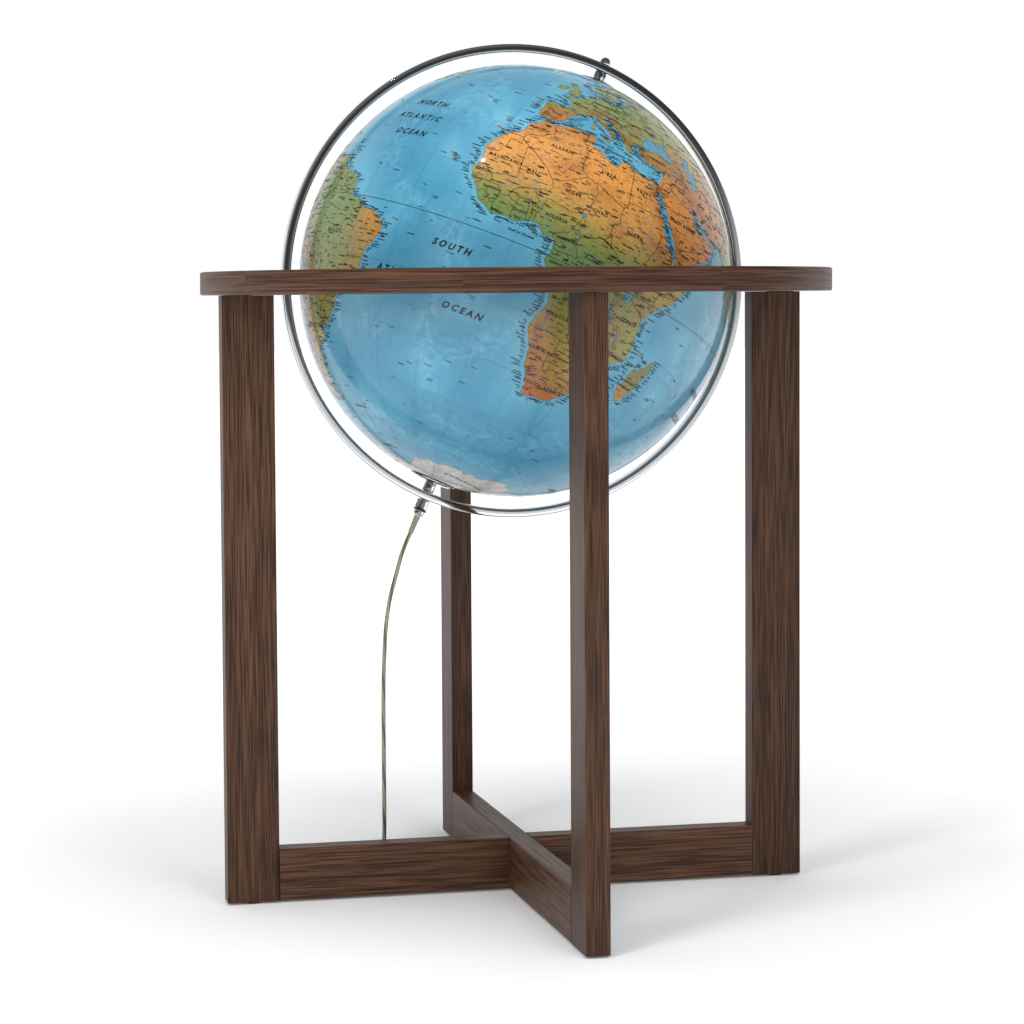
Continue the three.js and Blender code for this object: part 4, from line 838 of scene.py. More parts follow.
BORDERS = [pairs(text) for text in (
    "-2.2,35.1 -1.8,34 -1.2,32.3 -3.2,31 -5,29.8 -8.7,28.7 -8.7,26 -12,26 -12,23.4 -13.1,22.8 -13,21.3"
    " -17,21.3",
    "-13.1,27.7 -8.7,27.7", "-8.7,27.3 -4.8,25 -6.5,25 -5.5,16.3 -5.4,15.5 -9.3,15.5 -10.8,15.1 -12.2,14.8",
    "-4.8,25 1.2,21.1 1.8,20.2 3.2,19 4.2,19.2 5.8,19.5 12,23.5", "8.6,36.9 8.2,36 8.3,35 7.5,33.8 9.1,32.1"
    " 9.5,30.2 9.9,28.2 9.4,26.2 10.2,24.6 12,23.5 14.2,22.6 15,23 24,19.5", "9.5,30.2 10.3,31.8 11.5,33.2",
    "25.1,31.6 24.9,30 25,22 25,20 24,20 24,15.7 22.5,14.1 22.2,12.7 22.9,11 23.5,8.8",
    "25,22 31.4,22 36.9,22",
    "15,23 15.2,21.5 15.9,20.4 15.5,17 13.5,14.4 13.6,13.7", "3.6,11.7 4.1,13.5 6.8,13.1 9.6,12.8 12.5,13.2"
    " 13.6,13.7", "3.2,19 4.2,16.8 3.5,15.4 .2,14.9 1,13.4 2.4,12 3.6,11.7", ".2,14.9 -2,14.2 -4.3,13.2"
    " -5.5,10.5 -8,10.2 -8.3,11.3 -9.3,12.3 -11.4,12.4 -12.2,14.8 -14.5,16.6 -16.5,16",
    "-11.4,12.4 -13.7,12.6"
    " -16.7,12.4", "-16.7,13.3 -13.8,13.4", "-13.7,12.6 -13.8,11.6 -15,10.9", "-13.3,9 -12.5,9.9 -11.2,10"
    " -10.3,8.5 -11.5,6.9", "-10.3,8.5 -9.4,7.4 -8.4,7.6 -8.3,6.2 -7.5,4.4", "-8.4,7.6 -8,10.2",
    "-5.5,10.5 -2.8,9.6 -3.2,6.7 -2.8,5.1", "-2.8,9.6 -2.8,11 -.1,11.1 .4,10 .6,8.2 .6,6.9 1.2,6.1",
    "-.1,11.1 .9,11 1.6,9 1.6,6.2", ".9,11 2.4,12", "3.6,11.7 3.6,10 2.7,9 2.7,6.4", "14.1,12.5 13.3,10.1"
    " 11.8,7.1 10.5,7 8.9,5.8 8.6,4.8", "14.1,12.5 15,11.5 15.5,10 14,10 15.2,7.5 18.9,9 22.9,11",
    "15.2,7.5 14.6,5 16.2,2.2 18,3.5 18.6,4.3 22.4,4.1 24.5,5.1 27.4,5.1 25.2,7.8 23.5,8.8",
    "9.8,2.3 13.3,2.2"
    " 16.2,2.2", "9.6,1 11.3,1 11.3,2.2", "13.3,2.2 14.4,1.3 14,-.5 14.4,-2 12.8,-2 11.7,-2.5 11.1,-3.9",
    "18.6,4.3 18,2 17.7,-.5 16.2,-2.2 15.9,-3.9 14.5,-4.9 12.8,-4.6 12.2,-5.8", "12.3,-6 16.6,-6 17,-7.5"
    " 19.5,-7 20,-8 21.8,-7.3 22,-9.8 22.3,-11 24,-11 24.3,-11.5 27.2,-11.8 28.4,-12.5 29.8,-13.4 29.6,-12.2"
    " 28.6,-11.8 28.5,-9.2 30.8,-8.3 29.4,-6 29.3,-4.5 29.2,-2.8 29.6,-1.4 29.7,.6 31.2,2.2 30.9,3.5"
    " 27.4,5.1",
    "24,-11 24,-13 22,-13 22,-16.2 23.4,-17.6",
    "11.8,-17.2 14,-17.4 18.4,-17.4 21.4,-18 23.4,-17.6 25.2,-17.8"
    " 27,-17.9 28.9,-16 30.4,-15.6", "21,-18 21,-22 20,-22 20,-28.4 18.2,-28.9 16.5,-28.6", "20,-24.8"
    " 20.8,-26.8 23,-25.3 25.5,-25.6 26.9,-23.6 29.4,-22.2 31.3,-22.4", "25.2,-17.8 26,-19.5 27.7,-20.5"
    " 29.4,-22.2", "30.4,-15.6 32.9,-16.7 32.7,-19 32.4,-21.3 31.3,-22.4 32,-24.5 32,-26", "30.4,-15.6"
    " 30.2,-14.9 33.2,-14 32.9,-12 33.3,-10.8 32.9,-9.4 30.8,-8.3", "32.9,-9.4 34,-9.6",
    "33.2,-14 34.5,-14.5"
    " 34.4,-16.3 35.3,-17.1 35.8,-16 35.7,-14.6 34.9,-13.5 34.7,-11.6 37.5,-11.7 40.4,-10.5",
    "30.5,-1.1 34,-1"
    " 37.6,-3 39.2,-4.7", "34,-1 34,.2 34.5,1.2 35,2 34,4.2 30.9,3.5", "29.6,-1.4 30.5,-1.1 30.8,-2.4"
    " 30.4,-3.8 29.4,-4.4", "34,4.2 35.9,4.6 38.1,3.6 41.9,3.95 41,2.8 41,-.8 41.6,-1.7",
    "41.9,3.95 45,5 48,8"
    " 47,8 44,9 42.9,10.9 41.8,11 42.4,12.5",
    "42.4,12.5 40,14.5 37.9,14.9 36.5,14.3 36.1,12.7 35,11 34.1,8.5"
    " 33,7.8 35,5.5 35.9,4.6", "36.5,14.3 37,17 38.6,18",
    "27.1,-29.6 28.6,-28.7 29.4,-29.5 28.2,-30.5 27.1,-29.6",
    "-60.7,5.2 -59.8,2 -58,1.6 -54.5,2.3 -52.6,2.5 -51.7,4", "-60.7,5.2 -64,4 -63.4,2.2 -66.9,1.2 -69.8,1.7"
    " -69.4,-1 -69.9,-4.3 -73.8,-7.1 -72.5,-9.8 -70.5,-9.6 -70.6,-11 -69.5,-11 -65.3,-10 -65,-12 -60.5,-13.8"
    " -60,-16.2 -58.3,-16.4 -57.8,-18.5 -58.2,-20 -57.9,-22.1 -55.8,-22.3 -54.3,-24 -54.6,-25.6 -53.7,-27"
    " -57.6,-30.2 -54,-32.5 -53.4,-33.7", "-71.3,11.8 -72.5,9 -72,7.2 -67.5,6.2 -67.8,3 -66.9,1.2",
    "-80.3,-3.4 -78.5,-4.6 -75.5,-1.5 -75.2,-.1 -77.7,.6 -78.8,1.4", "-75.2,-.1 -73,-2.4 -69.9,-4.3",
    "-69.5,-11 -69,-14.5 -69.5,-17.5 -70.3,-18.3", "-69.5,-17.5 -68.2,-21.5 -67.2,-22.8 -68.4,-25 -70,-30"
    " -70,-33.5 -71.3,-38 -71.8,-44 -73,-50 -71.9,-52", "-67.2,-22.8 -64.5,-22.2 -62.7,-22.1 -58.2,-20",
    "-62.7,-22.1 -57.7,-25.3 -58.6,-27.3 -54.6,-25.6", "-57.6,-30.2 -58.2,-33", "-57,6 -56,2",
    "-58,6.5 -58,1.6",
    "-54,5.5 -54.5,2.3", "-8.8,41.9 -6.2,41.6 -7,39.7 -7.4,37.3", "-1.8,43.4 3.1,42.4", "7.5,43.8 7,45.9"
    " 6.1,46.3 7.6,47.6 9.6,47.5 10.5,46.7 8.5,46 7,45.9", "7.6,47.6 8.2,49 6.2,49.5 2.5,51.1", "6.2,49.5"
    " 6.1,51 7.1,52.4 7.1,53.3", "14.2,53.9 14.7,52 14.9,51 12.3,50.3 13.8,48.8 13,47.6 9.6,47.5", "14.9,51"
    " 18.8,49.6 16.9,48.7 13.8,48.8", "10.5,46.7 13.7,46.5 16.2,46.8 17.1,48 16.9,48.7", "17.1,48 22.2,48.3"
    " 20.3,46.1 16.3,46.4", "18.8,49.6 22.6,49.1 23.6,51.5 23.5,54 19.8,54.4",
    "22.2,48.3 26.6,48.3 28.2,45.5",
    "20.3,46.1 22.7,44.2 28.5,43.7", "22.4,42.3 22.9,41.3 26.3,41.7 28,42", "13.7,46.5 13.6,45.5",
    "16.2,46.8 18.9,45.9 19,44.9 15.8,45.2", "22.7,44.2 22.4,42.3 20.6,41.9 21,40.9 20,39.7",
    "23.6,51.5 31,52"
    " 34,51.5 40,49.6 38.2,47.1", "23.5,54 26.5,55.5 28.2,56.2 27.5,57.5 28,59.5",
    "28.2,56.2 31,54.8 32.5,53",
    "27.8,60.5 31.5,62.9 29.5,64.8 28.5,68.5 29,69.8", "11.2,59 12.5,61 12,63.2 14.5,66 18,68.5 20.5,69.1"
    " 23.5,67.9 24.1,65.8", "36.1,35.9 36.7,36.8 42.4,37.1 44.8,37.2 44.4,39.7 43.5,41.1 41.5,41.5",
    "42.4,37.1 41,34.4 38.8,33.4 35.8,32.8 35.5,31.2 34.9,29.5 37.5,30 39.2,32.1 38.8,33.4", "39.2,32.1"
    " 44.7,29.2 46.5,29.1 47.7,30.1", "44.8,37.2 45.6,34 47.8,31.8 48.5,30", "42.8,16.4 46.5,17.2 52,19"
    " 53.1,16.7", "52,19 55,20 55.2,22.7 52.5,22.9 51.6,24.1",
    "53.9,37.3 57.2,38.2 61.2,35.6 60.6,33 60.9,29.8"
    " 63.2,27.2 61.6,25.2", "60.9,29.8 66.3,29.9 69.3,31.9 71.1,34 74.9,37.2 68,37 64.5,36.3 61.2,35.6",
    "68.2,23.7 71,24.5 70,28 74.5,31 74.5,33 78,35.5 79,32 81,30.2 88,27.9 92,27.8 97.3,28.2", "80.3,28.7"
    " 88,26.4 88.1,27.9", "92.2,21 93,24 97.3,28.2 98.5,24 101.2,21.6 100.1,20.3 97.8,17.5 99.1,13"
    " 98.8,10.3",
    "100.1,20.3 101,17.7 104.8,16.5 105.5,14.3 102.5,13.5 102.9,11.7",
    "101.2,21.6 102.2,22.4 104.5,20 105.5,18"
    " 107.5,14.5 105.5,14.3", "102.2,22.4 106.5,22 108,21.6", "87.4,49.1 80.3,45 80.2,42 74,40 74.9,37.2",
    "87.4,49.1 91,45.2 96.4,42.7 105,41.6 112,43.7 119.8,46.7 116.7,49.8 120,53.2 127.5,50 131,47.8 135,48.4"
    " 131,44.8 130.7,42.3", "87.4,49.1 98,52 98.3,50.5 107,49.9 116.7,49.8",
    "48.5,46.5 47,48 50.8,51.7 60,51"
    " 61.5,54 70.9,55.3 77,53.3 80,51 87.4,49.1", "53,42 56,45 58.5,45.6 62,43.5 66,42 69,41.4 80.2,42",
    "56,41.3 60,42.2 62,40 66.5,37.4", "124.4,40 130.5,42.3", "126.7,37.8 128.3,38.6", "-123,49 -95.2,49"
    " -89.6,48 -84.5,46.5 -82.5,45.3 -82.4,43 -79,43.3 -76.3,44.2 -74.7,45 -71.5,45 -69.2,47.4 -67.8,47"
    " -67,45",
    "-141,69.6 -141,60.3 -137.5,58.9 -130,55.3", "-117.1,32.5 -114.8,32.5 -111,31.3 -108.2,31.8 -106.5,31.8"
    " -104.5,29.6 -101,29.5 -99.2,26.4 -97.2,25.9", "-92.2,14.5 -91,17 -91,17.8 -89,17.9", "-120,60 -102,60"
    " -95,60", "-110,49 -110,60", "-102,49 -102,60", "129,-14.9 129,-31.6",
    "138,-16.8 138,-26 141,-26 141,-38",
    "129,-26 138,-26", "141,-29 149,-29 153,-28.5", "141,-34 147,-36 150,-37.4", "109.7,2 112,1.5 115,4.8")]
RIVERS = [pairs(text) for text in (
    "31.2,30.8 31,27 32.8,24.5 32.5,22 30.5,19.5 33.9,19.2 33,16.5 32.5,15.6 32.5,12 31.5,9.3 31.7,5 32,2.5",
    "-10.5,9.5 -8,12.6 -4.5,14.3 -3,16.7 0,16.9 2,13.6 3.6,11.5 4.8,8.6 6.7,7.8 6.5,4.6", "32.5,15.6 35,11.2"
    " 37.3,11.5", "12.6,-6 15.3,-4.3 16.8,-1 18.3,.8 21,2 24,1.6 25.3,.5 26,-4 27,-8",
    "18.3,.8 18.6,4.2 22,4.2",
    "36.2,-18.7 34,-17 32.5,-15.8 29,-16 27,-17.8 23.5,-17 23,-13.5",
    "16.5,-28.6 19.5,-28.7 23.5,-29 27,-30.3",
    "-50.5,0 -54.5,-2.3 -58.5,-3.2 -63,-3.8 -67,-2.8 -70,-4.1 -73.5,-4.2", "-36.5,-10.5 -40,-9 -43.3,-12"
    " -44.8,-16.5", "-58.5,-34 -60,-31 -58.8,-27.3 -54.5,-25.5 -51,-20.5", "-49,-2 -49,-6 -48.5,-10 -50,-14",
    "-54.5,-2.3 -57,-6 -59,-10", "29.5,45.2 25.5,43.7 20.4,44.9 19,47.7 13.5,48.5 9,48", "47.9,46 44.5,48.6"
    " 49,53.3 43.9,56.3 38,57.7", "32.5,46.6 35,48.3 30.7,50.5 31,54", "48.5,30 44.5,33.3 43,36.4 40.5,37.9",
    "47.5,31 41,34.5 38,36.8", "67.5,24 70,28 72,32 74,35 80,31.5", "90,23 88,25.5 82,25.5 78,29.5",
    "73,66.5"
    " 66,62 69,58 77,60 83,54", "83,70.5 87,66 90,60 93,54", "127,72.5 125,66 130,61 115,58 108,54",
    "121.5,31.5"
    " 115,30 107,29.5 101,27 98,32", "119,37.5 113,35 111,40 107,38 101,35",
    "-89.5,29.3 -91,33 -89.5,37 -91,42"
    " -93,46", "-90,38.8 -96,41 -101,46 -108,48", "-135,69 -130,66 -123,62 -115,61",
    "-60.5,9 -63,8 -67.5,6")]
RANGES = [(pairs(text), width, height) for text, width, height in (
    ("-9,31 -5,32.5 -1,34 5,35.5 9,36", 1.6, .8), ("4.5,23 7,24.5 9,25.5", 2.4, .8), ("16,20.5 18.5,21.3"
     " 20,19.5", 2, .8), ("36.5,14 38,12 38,9 40,8", 3, .9), ("30,0 30,-4 31,-8 34,-10.5 35,-14", 2, .6),
    ("36,1 36.5,-2 37.3,-3.5", 1.8, .7), ("22,-33 27,-31.5 29.3,-29 31,-24.5", 2, .8), ("14.5,-13 15,-17"
     " 16,-22 17,-27 19.5,-32.5", 1.8, .9), ("10,5 11,7", 1.4, .6), ("7,18 9,17.5", 1.6, .7),
    ("24,13", 2, .7), ("33.5,28 37,21 41,19.5 43.5,16 45,13.8", 1.8, .9), ("57,23.3 59,22.6", 1.3, .6),
    ("-5,40.5 -2,41.5", 3.6, .5), ("-4,37.3 -2,37.5", 1.5, .8), ("-1.5,42.9 2.5,42.5", 1.1, .8), ("6,44.5"
     " 7.5,46 10.5,46.7 14,47.2", 1.5, 1), ("9,44.4 13,42.7 16,40", .9, .7),
     ("15,45 18,43.5 21,41 22,39", 1.4, .8),
    ("20,49.2 24,48 25.5,45.6 23,45.3", 1, .7), ("29,38 33,37.4 37,38.5 42,39 45,38", 2.8, .7), ("38,43.8"
     " 44,42.8 48,41.2", 1.2, 1), ("46,36 50,32.5 54,29.5 58,28.5", 2.4, .9), ("50,36.3 57,37.3 66,34.5"
     " 70,36", 2, .8), ("7,61 13,65 18,68.3", 1.6, .7), ("59,54 59,60 62,65", 1.3, .6), ("71,35.5 76,35.5"
     " 82,30.5 90,28 96,28.5 100,27", 3, 1), ("80,34 90,33 100,33", 5, .9), ("72,41 80,42 88,43", 2, .9),
    ("88,49.5 95,51 105,51.5", 3, .6), ("120,57 135,62 145,65 160,66", 4, .5), ("-150,63 -142,61 -134,59"
     " -127,55 -121,50 -115,47", 3.2, .8), ("-112,44 -108,40 -106,36 -105,32 -104,26 -100,20 -96,17.5",
     3.4, .8),
    ("-120,39 -118,36", 1.6, .8), ("-83,35.5 -79,38.5 -74,43", 1.6, .4), ("-73,10 -75,6 -77,1 -79,-3 -77,-8"
     " -73,-13 -69,-16 -67.5,-21 -69,-27 -70,-33 -71,-39 -73,-46 -72,-51", 2.1, 1), ("-44,-20 -43,-14",
     2, .4),
    ("-64,5 -61,5", 2, .4), ("138.5,-4 143,-6", 2, .8), ("146,-37 150,-32 151,-27 146,-20", 1.8, .4),
    ("169,-44 172,-42.5", .9, .8), ("47,-15.5 47,-19 46.3,-22.5", 1.5, .5), ("137,36 139,36.5", 1.2, .7))]
# Printed tint of the land: longitude, latitude, reach in degrees, colour.
TINTS = [(lon, lat, reach, color) for color, reach, text in (
    ("dd9a4e", 7, "-8,23 0,27 6,30 12,26 18,28 24,27 28,24 20,22 10,20 30,20 -14,23 -4,20"),
    ("d98f4a", 6, "45,26 42,30 50,22 46,20 55,22 37,30 58,30 62,31"),
    ("cf9a52", 5, "-6,17 4,17 12,17 20,17 28,17 34,19 -14,18 25,14 31,14"),
    ("a9934a", 4.5, "-12,14 -4,13.5 4,12.8 12,11.5 20,11.5 27,11 34,12 42,9 47,6 44,4 40,0"),
    ("6f8a48", 4.5, "-14,11 -8,9 -2,9 4,9 10,8 17,7 24,7 31,6.5 -12,8"),
    ("5f8550", 6, "8,6 12,3 16,0 22,1 27,2 20,-4 26,-3 12,-2 30,-1 -6,6 0,6.5"),
    ("8e9150", 6, "16,-10 22,-10 28,-12 33,-7 37,-8 36,-13 30,-6 38,-4 16,-14"),
    ("a3984f", 5, "20,-16 26,-17 31,-18 34,-22 27,-14 35,-17"), ("a48a48", 5, "24,-22 22,-20 20,-25 28,-25"),
    ("b9773f", 4.5, "14.5,-21 16,-25 18.5,-29 19.5,-32.5 23,-32.5"), ("a8783e", 4, "26,-30 29,-28"),
    ("71884a", 3, "31.5,-29 33,-25"), ("6d8248", 4, "47.5,-18"), ("a68545", 2.6, "45,-22.5 45,-25"),
    ("b2793f", 3.2, "-4,40 -3,38 -6,39"), ("76904f", 5, "2,47 8,50 15,52 22,53 30,55 -8,42.5 -2,53 -8,53"),
    ("87945a", 6, "25,47 35,50 45,53 40,58 55,56 22,44 12,43"), ("b08a4c", 4, "30,39 35,38.5 40,39 44,38"),
    ("a58b4f", 4, "22,40 12,42 9,40"), ("7d9562",
    8, "20,62 35,63 50,63 65,62 80,62 95,62 110,62 125,60 140,55"),
    ("a5a588", 6, "70,70 90,72 110,72 130,70 150,68 170,66"), ("b59a55",
    7, "50,47 60,45 70,46 80,47 100,45"),
    ("bf8d52", 6, "55,33 65,32 58,38 85,40 95,38"), ("a97f52", 6, "82,33 90,33 98,33"),
    ("9a9a52", 6, "77,26 74,22 78,17 83,22"), ("6f9350", 6, "95,22 102,17 106,21 112,27 118,30 105,12"),
    ("8a9a58", 6, "113,35 120,43 128,47 127,37"), ("5f8f4c", 6, "102,3 113,0 120,-2 138,-5 145,-6 122,12"),
    ("cf8f4d", 8, "122,-25 130,-24 137,-26 126,-21"), ("b59a52", 6, "144,-28 143,-22 118,-31 134,-18"),
    ("7d9450", 5, "148,-34 152,-30 146,-18 145,-37 174,-39 171,-43"), ("6f8f50", 8, "-60,-3 -66,-5 -55,-5"
     " -62,2 -70,2 -50,-2 -73,-8 -57,-10"), ("86934f", 6, "-50,-12 -52,-18 -48,-22 -46,-17 -60,-16"),
    ("a98f4b", 4, "-41,-12 -44,-9 -42,-17"), ("c08a45", 3.6, "-38.5,-7.5 -38,-10 -41,-6"), ("93954f", 6,
     "-58,-28 -62,-33 -64,-27"), ("b39555", 6, "-68,-38 -68,-45 -69,-50"), ("bd8a4d",
     5, "-69,-22 -70,-28 -72,-16"),
    ("79914f", 6, "-85,35 -80,40 -90,40 -75,45 -88,32 -82,28"), ("a59a55", 6, "-100,40 -98,32 -103,48"),
    ("c08d50", 6, "-110,35 -113,40 -106,28 -104,23"), ("71905a", 8, "-80,50 -95,54 -110,56 -125,58 -70,52"),
    ("a9ab97", 8, "-100,67 -85,66 -75,60 -115,68 -150,67 -70,68 -90,75"), ("6f924d",
    5, "-90,16 -84,12 -75,5"),
    ("e6e8ea", 9, "-42,72 -40,78 -35,65"), ("c9ced3", 12, "0,-78 60,-75 120,-75 180,-82 -120,-80 -60,-80"),
    ("c3c8ce", 9, "-30,-80 30,-73 90,-70 140,-70")) for lon, lat in pairs(text)]

# ---------------------------------------------------------------- the map on the sphere

# The map's axis leans 24.1 degrees, 7.8 degrees round from the plane of the axle.
# So it stands 3.2 degrees off the axle, half-way to how it looks in the photograph.
MAP_ROUND, MAP_LEAN, MAP_SPIN = (math.radians(d) for d in (7.8, 24.1, -114.2))
MAP_TURN = np.array(Matrix.Rotation(MAP_ROUND, 3, "Z") @ Matrix.Rotation(MAP_LEAN, 3, "Y")
                    @ Matrix.Rotation(MAP_SPIN, 3, "Z"))
SHELL_T = 0.0025
POLE_LAT = 87.6  # rows of the map end here, and a fan closes each pole
SEAM_LAT = 87  # Antarctica's outline turns along the foot of the map beyond this
POLE_HOLE_R = 0.0098
PRINT_LIFT = 0.00008  # how far the printed lines stand above the skin
GRID_STEP = 2.5  # degrees between the map's rows and columns
BLOCK = 1500  # rows of an array worked out at one time


def unit(lonlat):
    """Directions from the globe's middle for an array of longitudes and latitudes."""
    lon, lat = np.radians(np.asarray(lonlat, float)).T
    local = np.stack([np.cos(lat) * np.cos(lon), np.cos(lat) * np.sin(lon), np.sin(lat)], -1)
    return local @ MAP_TURN.T


def degrees_apart(p, q):
    return math.hypot((q[0] - p[0]) * math.cos(math.radians((p[1] + q[1]) / 2)), q[1] - p[1])


def jagged(p, q, rough):
    """Midpoint displacement of one stretch of line. Returns the points after p, up to q."""
    on_seam = abs(p[0]) == 180 and p[0] == q[0]
    if degrees_apart(p, q) < 0.8 or on_seam or (p[1] < -SEAM_LAT and q[1] < -SEAM_LAT):
        return [q]
    sway = rng.uniform(-rough, rough)
    middle = ((p[0] + q[0]) / 2 - (q[1] - p[1]) * sway, (p[1] + q[1]) / 2 + (q[0] - p[0]) * sway)
    return jagged(p, middle, rough) + jagged(middle, q, rough)


def coast(points, rough=0.12):
    line = []
    for p, q in zip(points, points[1:] + points[:1]):
        line += jagged(p, q, rough)
    return line


def dot(lon, lat, size=0.32):
    """Outline of an islet, size degrees in radius."""
    wide = size / max(0.3, math.cos(math.radians(lat)))
    return [(lon + wide * math.cos(a), lat + size * math.sin(a) * 0.8)
            for a in (k * math.pi / 3 for k in range(6))]


LAND = [coast(p) for p in (AFRICA, EURASIA, NORTH_AMERICA, SOUTH_AMERICA, GREENLAND, ANTARCTICA, AUSTRALIA,
                           MADAGASCAR)] + [coast(p) for p in ISLANDS] + [dot(*p) for p in DOTS]
WATER = [coast(p, 0.08) for p in LAKES]


def inside(spots, outline):
    """Which of the spots lie inside the closed outline."""
    x, y = spots.T
    a = np.array(outline)
    b = np.roll(a, -1, axis=0)
    near = (x > a[:, 0].min()) & (x < a[:, 0].max()) & (y > a[:, 1].min()) & (y < a[:, 1].max())
    result = np.zeros(len(x), bool)
    px, py = x[near][:, None], y[near][:, None]
    if not len(px):
        return result
    crosses = (a[:, 1] > py) != (b[:, 1] > py)
    rise = np.where(b[:, 1] == a[:, 1], 1e-12, b[:, 1] - a[:, 1])
    result[near] = ((crosses & (px < (b[:, 0] - a[:, 0]) * (py - a[:, 1]) / rise + a[:, 0])).sum(1) % 2) == 1
    return result


def map_triangles():
    """Triangles of the whole map in longitude and latitude, with every coast as an edge."""
    spots, edges = [], []

    def chain_of(points, closed):
        first = len(spots)
        spots.extend(Vector(p) for p in points)
        edges.extend((first + k, first + k + 1) for k in range(len(points) - 1))
        if closed:
            edges.append((first + len(points) - 1, first))

    for outline in LAND + WATER:
        chain_of(outline, True)
    rows = [-POLE_LAT, -86.3] + [-85 + GRID_STEP * k for k in range(69)] + [86.3, POLE_LAT]
    seam = sorted(rows + [68.9, 65.1, -78.5])  # with the latitudes where coasts meet the seam
    for lon in (-180, 180):
        chain_of([(lon, lat) for lat in seam], False)
    chain_of([(-180 + GRID_STEP * k, 0) for k in range(145)], False)
    chain_of([(-180 + 5 * k, POLE_LAT) for k in range(73)], False)
    for lat in rows:
        step = GRID_STEP if abs(lat) < 62 else 5 if abs(lat) < 84 else 10
        if lat and lat != POLE_LAT:
            spots.extend(Vector((-180 + step * k, lat)) for k in range(1, int(360 / step)))
    found, _, triangles, *_ = delaunay_2d_cdt(spots, edges, [], 0, 1e-4)
    found = [tuple(v) for v in found]
    triangles = [tuple(t) for t in triangles]
    for end in (-1, 1):
        row = sorted((p[0], k) for k, p in enumerate(found) if abs(p[1] - end * POLE_LAT) < 0.01)
        pole = len(found)
        found.append((0, end * 90))
        triangles += [(a[1], b[1], pole) for a, b in zip(row, row[1:])]
    return np.array(found), np.array(triangles)


def closeness(points, targets):
    """Angle in degrees from each unit vector to the nearest target."""
    best = np.empty(len(points))
    for start in range(0, len(points), BLOCK):
        best[start:start + BLOCK] = (points[start:start + BLOCK] @ targets.T).max(1)
    return np.degrees(np.arccos(np.clip(best, -1, 1)))


def along_line(points, step=0.6):
    """Points about step degrees apart along a line of longitudes and latitudes."""
    line = [points[0]]
    for p, q in zip(points, points[1:]):
        count = max(1, int(math.ceil(degrees_apart(p, q) / step)))
        line += [(p[0] + (q[0] - p[0]) * k / count, p[1] + (q[1] - p[1]) * k / count)
                 for k in range(1, count + 1)]
    return line


RIDGES = [pairs(text) for text in (
    "-17,66 -28,60 -33,53 -29,43 -35,36 -44,27 -46,16 -40,8 -28,1 -14,-2 -13,-12 -14,-30 -12,-42 -2,-53"
    " 12,-53 28,-50 40,-44 52,-36 62,-29 70,-25 68,-10 66,2 58,12 47,13", "9,-19 5,-24 0,-29 -9,-34",
    "-30,-31 -36,-31", "70,-25 80,-38 100,-48 130,-50 160,-60 -170,-64 -145,-56 -120,-50 -112,-30 -108,-10"
    " -104,8", "90,5 89,-28", "57,-5 60,-15 58,-22", "-20,-60 -35,-58 -55,-61", "45,-35 47,-30",
    "-156,20 -175,28 170,35 168,50")]
land_points = [p for outline in LAND for p in outline]


def map_attributes(lonlat):
    """Land tint, height of the relief, sea depth and ridge, for each vertex of the map."""
    where = unit(lonlat)
    tint_at = unit([t[:2] for t in TINTS])
    reach = np.array([t[2] for t in TINTS])
    colors = np.array([rgb(t[3])[:3] for t in TINTS])
    relief = np.zeros(len(where))
    tint = np.empty((len(where), 3))
    for start in range(0, len(where), BLOCK):
        rows = slice(start, start + BLOCK)
        angle = np.degrees(np.arccos(np.clip(where[rows] @ tint_at.T, -1, 1)))
        weight = np.exp(-(angle / reach * 1.25) ** 2) + 1e-6 / (1 + angle)
        tint[rows] = weight @ colors / weight.sum(1)[:, None]
    for line, width, height in RANGES:
        near = closeness(where, unit(along_line(line)))
        relief = np.maximum(relief, height * np.exp(-(near / width) ** 2))
    depth = closeness(where, unit(land_points[::2]))
    ridge = np.exp(-(closeness(where, unit([p for r in RIDGES for p in along_line(r, 1.0)])) / 3.2) ** 2)
    return tint, relief, depth, ridge


def varnished(t, color, roughness, height):
    """The clear gloss over the print, with a slight relief below it."""
    return t.finish(color, roughness, 0.0, t.bump(height, 0.0003, 0.35), Coat_Weight=0.55,
                    Coat_Roughness=0.07, Specular_IOR_Level=0.3)


def ocean_material():
    t = Tree("printed_ocean")
    depth, ridge = t.attribute("depth").outputs["Fac"], t.attribute("ridge").outputs["Fac"]
    cloud = t.noise(t.coords(), 11, detail=6, roughness=0.62, distortion=0.6)
    fine = t.noise(t.coords(), 55, detail=6, roughness=0.7, distortion=1.6)
    basin = t.maths("ADD", t.span(depth, 0.3, 13), t.span(cloud, 0.3, 0.7, -0.35, 0.35))
    color = t.ramp(basin, [(0.0, "5799b2"), (0.12, "4f92ae"), (0.4, "468aa7"), (0.7, "4084a1"),
                           (1.0, "3a7e9c")])
    crest = t.maths("MULTIPLY", ridge, t.span(fine, 0.42, 0.68, 0.0, 0.28), clamp=True)
    color = t.mix(crest, color, rgb("8ccbe0"))
    color = t.mix(t.span(fine, 0.35, 0.65, 0.0, 0.12), color, rgb("69b6d4"))
    return varnished(t, color, 0.36, t.maths("MULTIPLY", fine, ridge))


